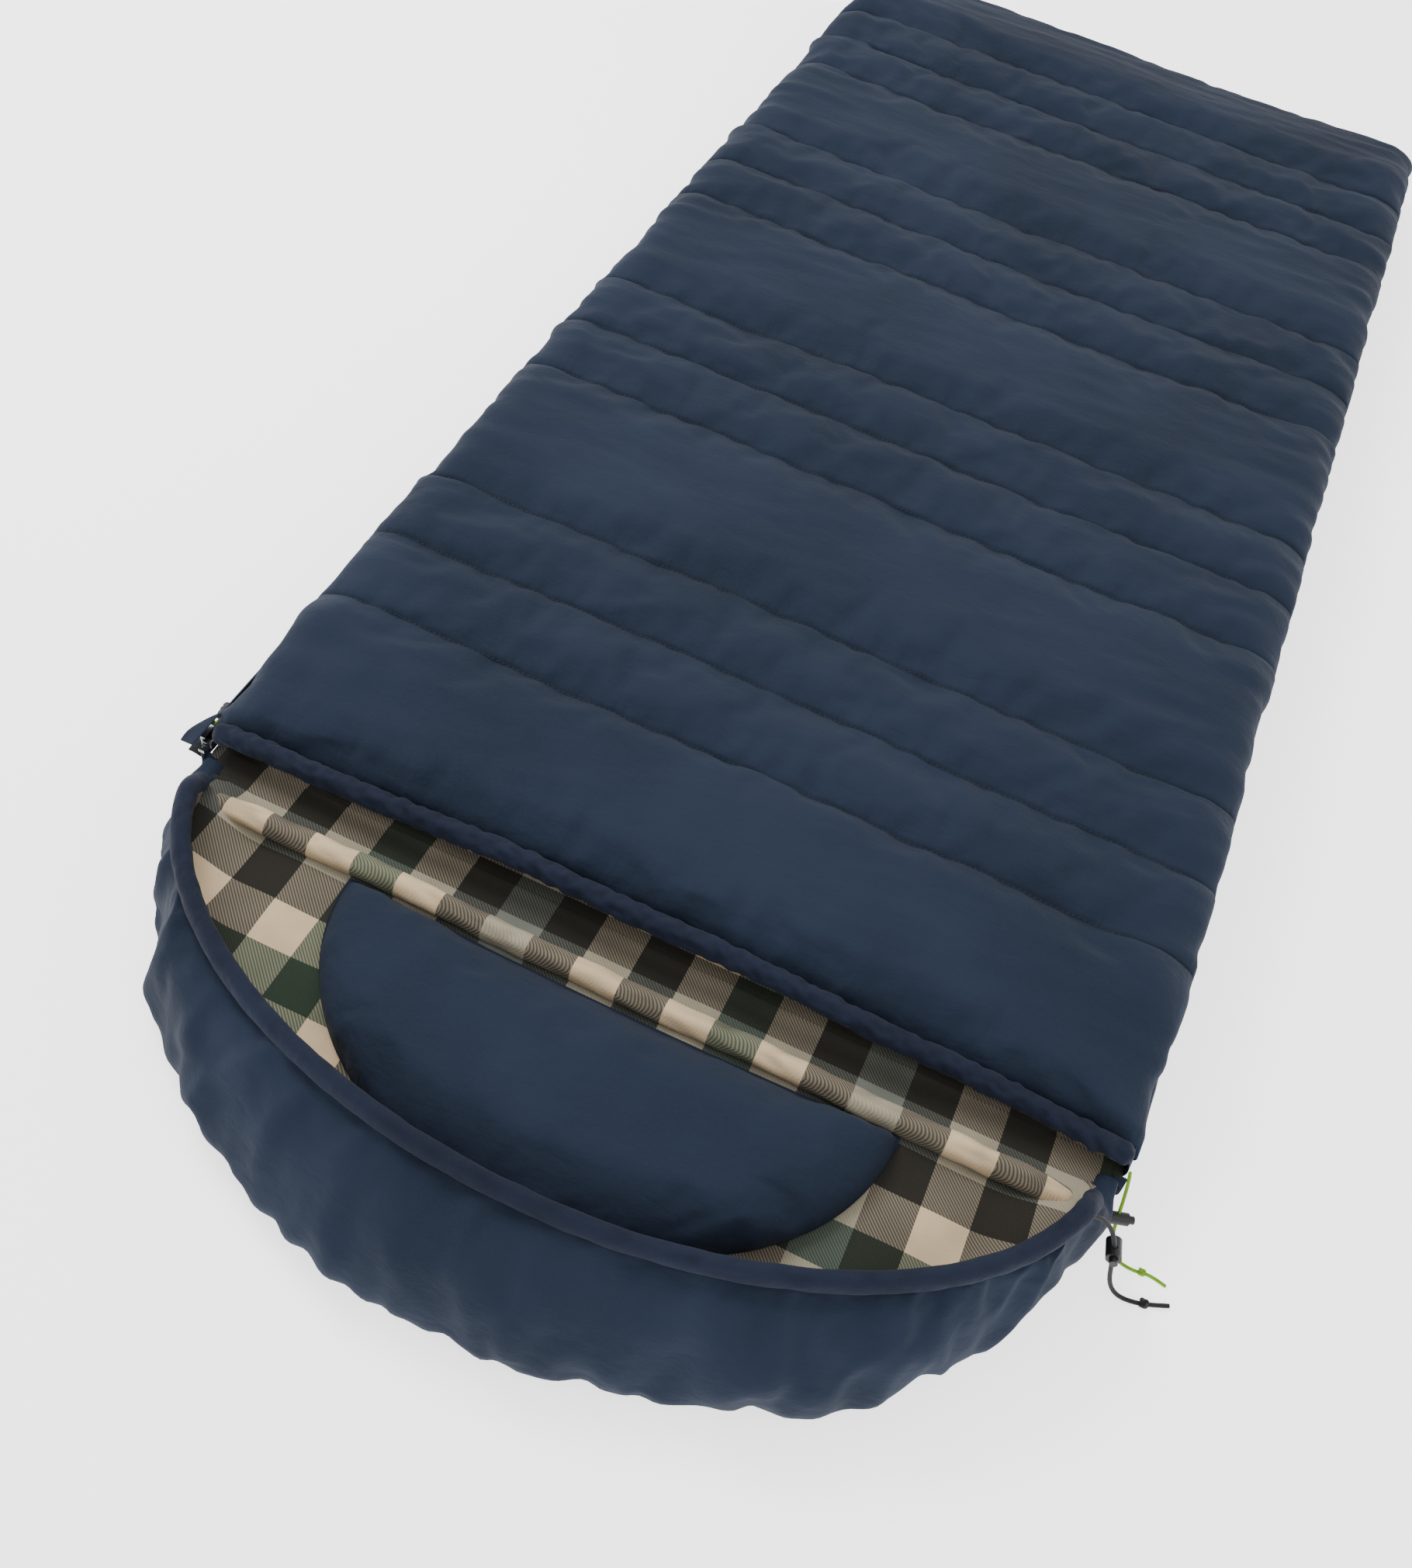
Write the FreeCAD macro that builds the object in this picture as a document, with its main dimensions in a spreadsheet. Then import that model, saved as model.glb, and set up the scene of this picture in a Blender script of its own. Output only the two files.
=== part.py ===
import FreeCAD, Part
import math
import os
import Sketcher

from FreeCAD import Rotation, Vector

# Hooded rectangular sleeping bag lying closed on the ground, in millimetres.
# +X is the folded side, -X the zipped side, +Y the foot, -Y the hood and +Z up.
# The origin is under the middle of the bag. Places are worked out in the second sheet.

SIZES = {
    # quilts
    "bag_width": 880, "body_length": 1854, "hood_depth": 340,
    "lower_thick": 50, "upper_thick": 50, "cavity_gap": 10,
    "fabric_thick": 1.2, "layer_gap": 0.2, "body_gap": 0.3,
    "edge_round": 18, "corner_round": 40,
    "mouth_length": 160, "mouth_rise": 16, "mouth_drop": 8,
    "foot_slope_length": 150, "foot_drop": 22,
    # opening rim of the upper quilt
    "rim_dia": 25, "rim_bore": 5, "rim_end_rise": 16, "rim_arch": 22, "rim_inset": 5,
    # hood
    "neck_gap": 0.6, "hood_half_width": 425, "hood_side_round": 200,
    "brim_foot_thick": 56, "brim_top_thick": 26, "brim_height": 32,
    "brim_lean": 60, "brim_lean_side": -4, "brim_tilt_deg": 6, "brim_end_setback": 78,
    "hood_rim_dia": 25,
    # pillow and neck roll
    "pillow_half_width": 252, "pillow_depth": 190, "pillow_side_round": 110,
    "pillow_setback": 66, "pillow_height": 42, "pillow_round": 14,
    "roll_dia": 20, "roll_setback": 42, "roll_side_inset": 84,
    # zip
    "tape_thick": 1.2, "tape_width": 12, "coil_width": 3.4, "coil_depth": 6, "chain_gap": 2,
    "slider_length": 16, "slider_height": 14, "plate_thick": 2, "plate_gap": 0.4,
    "inner_plate_height": 8.4, "post_length": 5, "lip_height": 1.5,
    "head_park": 8, "foot_park": 60, "coil_clear": 6, "stop_length": 3,
    # puller
    "ear_height": 2, "ear_length": 6, "pin_dia": 2, "pin_play": 0.3, "pin_standoff": 3,
    "tab_thick": 1.8, "tab_length": 17, "tab_eye_dia": 4.8, "tab_hole_dia": 3.2,
    "pull_cord_dia": 2.2, "grip_dia": 9, "grip_length": 20, "grip_socket": 4.4,
    # draft tube, flap, patches and label
    "draft_width": 40, "draft_inset": 9, "flap_length": 58, "flap_reach": 18,
    "flap_thick": 1.6, "flap_slope_deg": 22, "flap_overhang": 25, "flap_rise": 19,
    "patch_length": 30, "patch_width": 14, "patch_thick": 1, "patch_height": 14,
    "label_length": 42, "label_reach": 15, "label_thick": 1.2, "label_drop": 22,
    # drawcords and cord locks
    "drawcord_dia": 3, "hood_cord_dia": 4, "bore_play": 0.5,
    "lock_dia": 11, "lock_length": 19, "button_dia": 7, "button_out": 5, "lock_wall": 1.6,
    "spring_wire": 0.9, "spring_turns": 2, "spring_room": 5, "button_stroke": 2,
    "toggle_dia": 13, "toggle_length": 18, "knot_dia": 8, "hood_knot_dia": 10,
}

PLACES = {
    "side": "=size.bag_width / 2",
    "foot": "=(size.body_length + size.hood_depth) / 2",
    "opening": "=(size.hood_depth - size.body_length) / 2",
    "neck": "=opening - size.neck_gap",
    "cavity_top": "=size.lower_thick + size.cavity_gap",
    "crown": "=cavity_top + size.upper_thick",
    "chain": "=size.lower_thick + size.cavity_gap / 2",
    "skin": "=size.fabric_thick + size.layer_gap",
    "quilt_start": "=opening + size.rim_dia + size.body_gap",
    "tape_inner": "=size.layer_gap",
    "tape_outer": "=size.layer_gap + size.tape_thick",
    "coil_inner": "=tape_inner + size.tape_thick / 2 - size.coil_depth / 2",
    "coil_outer": "=tape_inner + size.tape_thick / 2 + size.coil_depth / 2",
    "plate_out": "=coil_outer + size.plate_gap",
    "plate_in": "=coil_inner - size.plate_gap",
    "pin_out": "=plate_out + size.plate_thick + size.pin_standoff",
    "head_pin": "=opening + size.head_park + size.slider_length / 2",
    "foot_pin": "=side - size.foot_park",
    "upper_coil_start": "=opening + size.head_park + size.slider_length + size.coil_clear",
    "foot_coil_end": "=side - size.foot_park - size.slider_length / 2 - size.coil_clear",
    "hood_thick": "=size.lower_thick",
    "hood_top": "=size.lower_thick + size.layer_gap",
    "fold_axis": "=size.lower_thick + size.cavity_gap / 2 + size.chain_gap / 4",
}

doc = FreeCAD.newDocument("SleepingBag")


def add_sheet(name, cells):
    """A spreadsheet with one named cell to each row."""
    sheet = doc.addObject("Spreadsheet::Sheet", name)
    for row, (alias, content) in enumerate(cells.items(), start=1):
        sheet.set(f"A{row}", alias)
        sheet.set(f"B{row}", str(content))
        sheet.setAlias(f"B{row}", alias)
    doc.recompute()
    return sheet


size = add_sheet("size", SIZES)
place = add_sheet("place", PLACES)
nodes = {}


def keep(node, piece):
    """Name a finished piece, so that it is checked and written."""
    piece.Label = node
    nodes[node] = piece
    return piece


def bind(piece, **expressions):
    """Tie properties to the sheets; x, y and z stand for the placement."""
    for prop, expression in expressions.items():
        path = f"Placement.Base.{prop}" if prop in ("x", "y", "z") else prop
        piece.setExpression(path, expression)
    return piece


def computed(name, shape):
    piece = doc.addObject("Part::Feature", name)
    piece.Shape = shape
    return piece


def boolean(kind, name, base, tool):
    piece = doc.addObject(f"Part::{kind}", name)
    piece.Base = base
    piece.Tool = tool
    return piece


def fuse(name, pieces):
    piece = doc.addObject("Part::MultiFuse", name)
    piece.Shapes = pieces
    return piece


def box(name, x, y, z, long_x, long_y, long_z):
    piece = doc.addObject("Part::Box", name)
    return bind(piece, x=x, y=y, z=z, Length=long_x, Width=long_y, Height=long_z)


def cylinder(name, radius, length, x, y, z, axis=Vector(0, 0, 1)):
    piece = doc.addObject("Part::Cylinder", name)
    piece.Placement.Rotation = Rotation(Vector(0, 0, 1), axis)
    return bind(piece, Radius=radius, Height=length, x=x, y=y, z=z)


def outline_sketch(body, plane, level, corners):
    """A closed outline on one of the body's own planes, its corners tied to the sheets."""
    sketch = body.newObject("Sketcher::SketchObject", f"{body.Name}_outline")
    support = [feature for feature in body.Origin.OriginFeatures if feature.Role == plane]
    sketch.AttachmentSupport = (support[0], [""])
    sketch.MapMode = "FlatFace"
    sketch.setExpression("AttachmentOffset.Base.z", level)
    count = len(corners)
    start = [Vector(math.cos(math.tau * i / count), math.sin(math.tau * i / count), 0)
             for i in range(count)]
    for i in range(count):
        sketch.addGeometry(Part.LineSegment(start[i], start[(i + 1) % count]))
    for i in range(count):
        sketch.addConstraint(Sketcher.Constraint("Coincident", i, 2, (i + 1) % count, 1))
    for i, corner in enumerate(corners):
        for kind, expression in zip(("DistanceX", "DistanceY"), corner):
            index = sketch.addConstraint(Sketcher.Constraint(kind, -1, 1, i, 1, 1.0))
            sketch.setExpression(f"Constraints[{index}]", expression)
    return sketch


def pad(name, plane, level, corners, length):
    """A body made by padding an outline from a level along the plane's normal."""
    body = doc.addObject("PartDesign::Body", name)
    sketch = outline_sketch(body, plane, level, corners)
    feature = body.newObject("PartDesign::Pad", f"{name}_pad")
    feature.Profile = sketch
    feature.setExpression("Length", length)
    doc.recompute()
    return body


def round_edges(body, radius, wanted):
    """Fillet the edges of the body's tip whose bounding box passes the test."""
    tip = body.Tip
    names = [f"Edge{i}" for i, edge in enumerate(tip.Shape.Edges, start=1)
             if wanted(edge.BoundBox)]
    fillet = body.newObject("PartDesign::Fillet", f"{body.Name}_round{len(body.Group)}")
    fillet.Base = (tip, names)
    fillet.setExpression("Radius", radius)
    doc.recompute()
    return body


def slim(low, high):
    return abs(high - low) < 1e-6


def upright(edge):
    return slim(edge.XMin, edge.XMax) and slim(edge.YMin, edge.YMax)


def rectangle(inset):
    """Plan of a quilt, drawn in from its edge by an inset."""
    west, east = f"-place.side + {inset}", f"place.side - ({inset})"
    head, tail = f"place.opening + {inset}", f"place.foot - ({inset})"
    return [(west, head), (east, head), (east, tail), (west, tail)]


# ---------------------------------------------------------------- lower quilt

def lower_block(name, inset, bottom, height):
    """A slab of the lower quilt with rounded corners and a rounded lower edge."""
    body = pad(name, "XY_Plane", bottom, rectangle(inset), height)
    round_edges(body, f"size.corner_round - ({inset})", upright)
    base = body.Shape.BoundBox.ZMin
    return round_edges(body, f"size.edge_round - ({inset})",
                       lambda edge: slim(edge.ZMin, base) and slim(edge.ZMax, base))


def lower_quilt():
    outer = lower_block("lower_outer", "0", "0",
                        "size.lower_thick - size.fabric_thick - size.layer_gap")
    hollow = lower_block("lower_hollow", "size.fabric_thick", "size.fabric_thick",
                         "size.lower_thick")
    keep("lower_shell", boolean("Cut", "lower_shell", outer, hollow))
    keep("lower_fill", lower_block("lower_fill", "place.skin", "place.skin",
                                   "size.lower_thick - 2 * place.skin"))
    lining = pad("lower_lining", "XY_Plane", "size.lower_thick - size.fabric_thick",
                 rectangle("size.layer_gap"), "size.fabric_thick")
    round_edges(lining, "size.corner_round - size.layer_gap", upright)
    keep("lower_lining", lining)


def fold_strips():
    """The folded side's fabric, split at the fold line."""
    length = "size.body_length - 2 * size.corner_round"
    start = "place.opening + size.corner_round"
    reach = "place.fold_axis - size.body_gap - size.lower_thick - size.layer_gap"
    wall = "place.side - size.fabric_thick"
    keep("fold_strip_lower", box("fold_strip_lower", wall, start,
                                 "size.lower_thick + size.layer_gap",
                                 "size.fabric_thick", length, reach))
    keep("fold_strip_upper", box("fold_strip_upper", wall, start,
                                 "place.fold_axis + size.body_gap",
                                 "size.fabric_thick", length,
                                 "place.cavity_top - size.layer_gap - place.fold_axis"
                                 " - size.body_gap"))


def draft_tube():
    """A padded strip inside the zipped side, behind the coils."""
    keep("draft_tube", box("draft_tube", "-place.side + size.draft_inset",
                           "place.upper_coil_start", "size.lower_thick + size.layer_gap",
                           "size.draft_width",
                           "place.foot - size.corner_round - place.upper_coil_start",
                           "size.cavity_gap - 2 * size.layer_gap - size.body_gap"))


# ---------------------------------------------------------------- upper quilt

def upper_profile(drop, lift):
    """Side view of the upper quilt: raised at the mouth and sloping down at the foot."""
    top, under = f"place.crown - ({drop})", f"place.cavity_top + {lift}"
    back, front = f"place.foot - ({drop})", f"place.quilt_start + {drop}"
    return [(front, f"{under} + size.mouth_rise"),
            ("place.quilt_start + size.mouth_length", under),
            (back, under),
            (back, f"{top} - size.foot_drop"),
            ("place.foot - size.foot_slope_length", top),
            ("place.quilt_start + size.mouth_length", top),
            (front, f"{top} - size.mouth_drop")]


def upper_block(name, drop, lift):
    body = pad(name, "YZ_Plane", f"-place.side + {drop}", upper_profile(drop, lift),
               f"size.bag_width - 2 * ({drop})")
    round_edges(body, f"size.corner_round - ({drop})",
                lambda edge: upright(edge) and edge.YMin > place.foot - size.corner_round)
    return body


def upper_quilt():
    outer = upper_block("upper_outer", "0", "place.skin")
    hollow = upper_block("upper_hollow", "size.fabric_thick", "-size.cavity_gap")
    keep("upper_shell", boolean("Cut", "upper_shell", outer, hollow))
    keep("upper_fill", upper_block("upper_fill", "place.skin", "place.skin"))
    under, front = "place.cavity_top", "place.quilt_start"
    bend = "place.quilt_start + size.mouth_length"
    sheet = [(front, f"{under} + size.mouth_rise"), (bend, under), ("place.foot", under),
             ("place.foot", f"{under} + size.fabric_thick"),
             (bend, f"{under} + size.fabric_thick"),
             (front, f"{under} + size.mouth_rise + size.fabric_thick")]
    lining = pad("upper_lining", "YZ_Plane", "-place.side + size.layer_gap", sheet,
                 "size.bag_width - 2 * size.layer_gap")
    round_edges(lining, "size.corner_round - size.layer_gap",
                lambda edge: upright(edge) and edge.YMin > place.foot - size.corner_round)
    keep("upper_lining", lining)


def arch(half_span, sagitta, level, y):
    """A low arc standing across the bag, from the zipped side to the folded side."""
    return Part.Arc(Vector(-half_span, y, level), Vector(0, y, level + sagitta),
                    Vector(half_span, y, level)).toShape()


def swept(path, radius, bore=0):
    """A round tube or bar along a wire or edge."""
    wire = Part.Wire(path if isinstance(path, list) else [path])
    first = wire.OrderedEdges[0]
    start = first.valueAt(first.FirstParameter)
    along = first.tangentAt(first.FirstParameter)
    rings = [Part.Wire(Part.Circle(start, along, r).toShape()) for r in (radius, bore) if r]
    solids = [wire.makePipeShell([ring], True, False) for ring in rings]
    return solids[0] if not bore else solids[0].cut(solids[1])


def opening_rim():
    """The gathered tube along the upper quilt's opening, with its drawcord inside."""
    half_span = place.side - size.rim_inset
    path = arch(half_span, size.rim_arch, place.chain + size.rim_end_rise,
                place.opening + size.rim_dia / 2)
    keep("opening_rim", computed("opening_rim",
                                 swept(path, size.rim_dia / 2, size.rim_bore / 2)))
    keep("opening_cord_inner", computed("opening_cord_inner",
                                        swept(path, size.drawcord_dia / 2)))


# ---------------------------------------------------------------- hood

def oval_edges(half_width, depth, side_round, level):
    """Three tangent arcs from the west end, round the head end, to the east end."""
    centre = (((half_width - side_round) ** 2 - (depth - side_round) ** 2)
              / (2 * (depth - side_round)))
    radius = depth + centre
    reach = radius / math.hypot(half_width - side_round, centre)
    meet_x = (half_width - side_round) * reach
    meet_y = centre - centre * reach
    turn = math.atan2(-meet_y, meet_x - half_width + side_round) / 2
    mid_x = half_width - side_round + side_round * math.cos(turn)
    mid_y = -side_round * math.sin(turn)

    def point(x, y):
        return Vector(x, place.neck + y, level)

    return [Part.Arc(point(-half_width, 0), point(-mid_x, mid_y),
                     point(-meet_x, meet_y)).toShape(),
            Part.Arc(point(-meet_x, meet_y), point(0, -depth),
                     point(meet_x, meet_y)).toShape(),
            Part.Arc(point(meet_x, meet_y), point(mid_x, mid_y),
                     point(half_width, 0)).toShape()]


def oval_prism(half_width, depth, side_round, level, height, setback=0):
    """A half oval pad; the setback moves it away from the neck line."""
    edges = oval_edges(half_width, depth, side_round, level)
    closing = Part.LineSegment(Vector(half_width, place.neck, level),
                               Vector(-half_width, place.neck, level)).toShape()
    prism = Part.Face(Part.Wire(edges + [closing])).extrude(Vector(0, 0, height))
    prism.translate(Vector(0, -setback, 0))
    return prism


def rounded(solid, level, radius, straight=False):
    """Round the edges of a solid that lie at one level, its straight one if asked."""
    edges = [edge for edge in solid.Edges
             if slim(edge.BoundBox.ZMin, level) and slim(edge.BoundBox.ZMax, level)
             and (straight or not slim(edge.BoundBox.YMin, edge.BoundBox.YMax))]
    return solid.makeFillet(radius, edges)


def hood_pad(inset, bottom, height):
    prism = oval_prism(size.hood_half_width - inset, size.hood_depth - size.neck_gap - inset,
                       size.hood_side_round - inset, bottom, height)
    return rounded(prism, bottom, size.edge_round - inset)


def hood_base():
    skin, top = place.skin, place.hood_thick
    wall = size.fabric_thick
    tray = hood_pad(0, 0, top - skin).cut(hood_pad(wall, wall, top))
    keep("hood_shell", computed("hood_shell", tray))
    keep("hood_fill", computed("hood_fill", hood_pad(skin, skin, top - 2 * skin)))
    keep("hood_lining", computed("hood_lining", oval_prism(
        size.hood_half_width - size.layer_gap,
        size.hood_depth - size.neck_gap - size.layer_gap,
        size.hood_side_round - size.layer_gap, top - wall, wall)))


def tilted(shape):
    """Tip the top of the brim so that it is higher at the head end."""
    pivot = Vector(0, place.neck - size.brim_end_setback, place.hood_top + size.brim_height)
    shape.rotate(pivot, Vector(1, 0, 0), -size.brim_tilt_deg)
    return shape


def ring(outer, inner, tip):
    """A crescent outline between two ovals, each given as width, depth and side round."""
    level = place.hood_top + (size.brim_height if tip else 0)
    outside = oval_edges(*outer, level)
    inside = oval_edges(*inner, level)
    ends = [Part.LineSegment(outside[-1].Vertexes[-1].Point, inside[-1].Vertexes[-1].Point),
            Part.LineSegment(inside[0].Vertexes[0].Point, outside[0].Vertexes[0].Point)]
    wire = Part.Wire(outside + [ends[0].toShape()] + inside[::-1] + [ends[1].toShape()])
    return tilted(wire) if tip else wire


def drawn_in(oval, inset):
    return [value - inset for value in oval]


def brim_layer(start, end):
    """One layer of the brim, between two depths measured in from its outer face."""
    foot = [size.hood_half_width, size.hood_depth - size.neck_gap, size.hood_side_round]
    top = [size.hood_half_width - size.brim_lean_side,
           size.hood_depth - size.neck_gap - size.brim_lean, size.hood_side_round]
    wires = [ring(drawn_in(foot, start[0]), drawn_in(foot, end[0]), False),
             ring(drawn_in(top, start[1]), drawn_in(top, end[1]), True)]
    body = Part.makeLoft(wires, True, True)
    reach = size.bag_width
    near_neck = Part.makeBox(2 * reach, 2 * size.brim_end_setback, reach,
                             Vector(-reach, place.neck - size.brim_end_setback, 0))
    return body.cut(near_neck)


def hood_brim():
    """The raised wall round the head: outer fabric, filling and lining."""
    foot, top = size.brim_foot_thick, size.brim_top_thick
    wall, skin = size.fabric_thick, place.skin
    layers = {"brim_shell": ((0, 0), (wall, wall)),
              "brim_fill": ((skin, skin), (foot - skin, top - skin)),
              "brim_lining": ((foot - wall, top - wall), (foot, top))}
    for node, (start, end) in layers.items():
        keep(node, computed(node, brim_layer(start, end)))


def hood_rim_path():
    """Centre line of the tube on top of the brim."""
    mid = size.brim_top_thick / 2
    edges = oval_edges(size.hood_half_width - size.brim_lean_side - mid,
                       size.hood_depth - size.neck_gap - size.brim_lean - mid,
                       size.hood_side_round - mid,
                       place.hood_top + size.brim_height
                       + size.hood_rim_dia / 2 + size.layer_gap)
    return [tilted(edge) for edge in edges]


def hood_rim():
    path = hood_rim_path()
    reach = size.bag_width
    near_neck = Part.makeBox(2 * reach, 2 * size.brim_end_setback, reach,
                             Vector(-reach, place.neck - size.brim_end_setback, 0))
    tube = swept(path, size.hood_rim_dia / 2, size.rim_bore / 2).cut(near_neck)
    keep("hood_rim", computed("hood_rim", tube))
    keep("hood_cord_inner", computed("hood_cord_inner",
                                     swept(path, size.hood_cord_dia / 2).cut(near_neck)))


def pillow():
    """The sewn-in pillow: a cover open below, and the filling inside it."""
    def block(inset, height, below=0):
        prism = oval_prism(size.pillow_half_width - inset, size.pillow_depth - 2 * inset,
                           size.pillow_side_round - inset, place.hood_top - below,
                           height + below, size.pillow_setback + inset)
        return rounded(prism, place.hood_top + height, size.pillow_round - inset, True)

    wall, skin = size.fabric_thick, place.skin
    cover = block(0, size.pillow_height).cut(block(wall, size.pillow_height - wall,
                                              size.pillow_round))
    keep("pillow_cover", computed("pillow_cover", cover))
    keep("pillow_fill", computed("pillow_fill", block(skin, size.pillow_height - skin)))


def neck_roll():
    """The padded roll across the neck, on the lining in front of the pillow."""
    keep("neck_roll", cylinder("neck_roll", "size.roll_dia / 2",
                               "size.bag_width - 2 * size.roll_side_inset",
                               "-place.side + size.roll_side_inset",
                               "place.neck - size.roll_setback",
                               "place.hood_top + size.roll_dia / 2", Vector(1, 0, 0)))


# ---------------------------------------------------------------- zip

def zip_leg(name, inner, outer, bottom, height, head_start, foot_end):
    """A band along the zipped side and the foot, round the corner between them."""
    block = Part.makeBox(size.bag_width + 2 * outer, size.body_length + 2 * outer, height,
                         Vector(-place.side - outer, place.opening - outer, bottom))
    hole = Part.makeBox(size.bag_width + 2 * inner, size.body_length + 2 * inner, height,
                        Vector(-place.side - inner, place.opening - inner, bottom))

    def corner(solid, radius):
        west = min(edge.BoundBox.XMin for edge in solid.Edges)
        tail = max(edge.BoundBox.YMax for edge in solid.Edges)
        edges = [edge for edge in solid.Edges if upright(edge.BoundBox)
                 and slim(edge.BoundBox.XMin, west) and slim(edge.BoundBox.YMax, tail)]
        return solid.makeFillet(radius, edges)

    band = corner(block, size.corner_round + outer).cut(corner(hole, size.corner_round + inner))
    reach = size.body_length + size.bag_width
    side_keep = Part.makeBox(size.corner_round, reach, height,
                             Vector(-place.side - outer, head_start, bottom))
    foot_keep = Part.makeBox(foot_end + place.side + outer, size.corner_round + 2 * outer,
                             height, Vector(-place.side - outer,
                                            place.foot - size.corner_round, bottom))
    return computed(name, band.common(side_keep.fuse(foot_keep)))


def zip_halves():
    half_gap = size.chain_gap / 2
    lower_coil = place.chain - half_gap - size.coil_width
    upper_coil = place.chain + half_gap
    head, foot_end = place.opening + size.stop_length, place.side - size.corner_round
    keep("zip_coil_lower", zip_leg("zip_coil_lower", place.coil_inner, place.coil_outer,
                                   lower_coil, size.coil_width, head, foot_end))
    keep("zip_coil_upper", zip_leg("zip_coil_upper", place.coil_inner, place.coil_outer,
                                   upper_coil, size.coil_width, place.upper_coil_start,
                                   place.foot_coil_end))
    lower_tape = lower_coil - size.layer_gap - size.tape_width
    upper_tape = upper_coil + size.coil_width + size.layer_gap
    keep("zip_tape_lower", zip_leg("zip_tape_lower", place.tape_inner, place.tape_outer,
                                   lower_tape, size.tape_width, place.opening, foot_end))
    keep("zip_tape_upper", zip_leg("zip_tape_upper", place.tape_inner, place.tape_outer,
                                   upper_tape, size.tape_width, place.upper_coil_start,
                                   place.foot_coil_end))


def zip_stops():
    """Small clamps at the head end of the lower coil and at both ends of the upper one."""
    depth, width = "size.coil_depth", "size.coil_width"
    length = "size.stop_length - size.layer_gap"
    lower = "place.chain - size.chain_gap / 2 - size.coil_width"
    upper = "place.chain + size.chain_gap / 2"
    west = "-place.side - place.coil_outer"
    keep("zip_stop_lower", box("zip_stop_lower", west, "place.opening", lower,
                               depth, length, width))
    head = box("stop_head", west, "place.upper_coil_start - size.stop_length", upper,
               depth, length, width)
    tail = box("stop_tail", "place.foot_coil_end + size.layer_gap",
               "place.foot + place.coil_inner", upper, length, depth, width)
    pair = doc.addObject("Part::Compound", "zip_stops_upper")
    pair.Links = [head, tail]
    keep("zip_stops_upper", pair)


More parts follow.
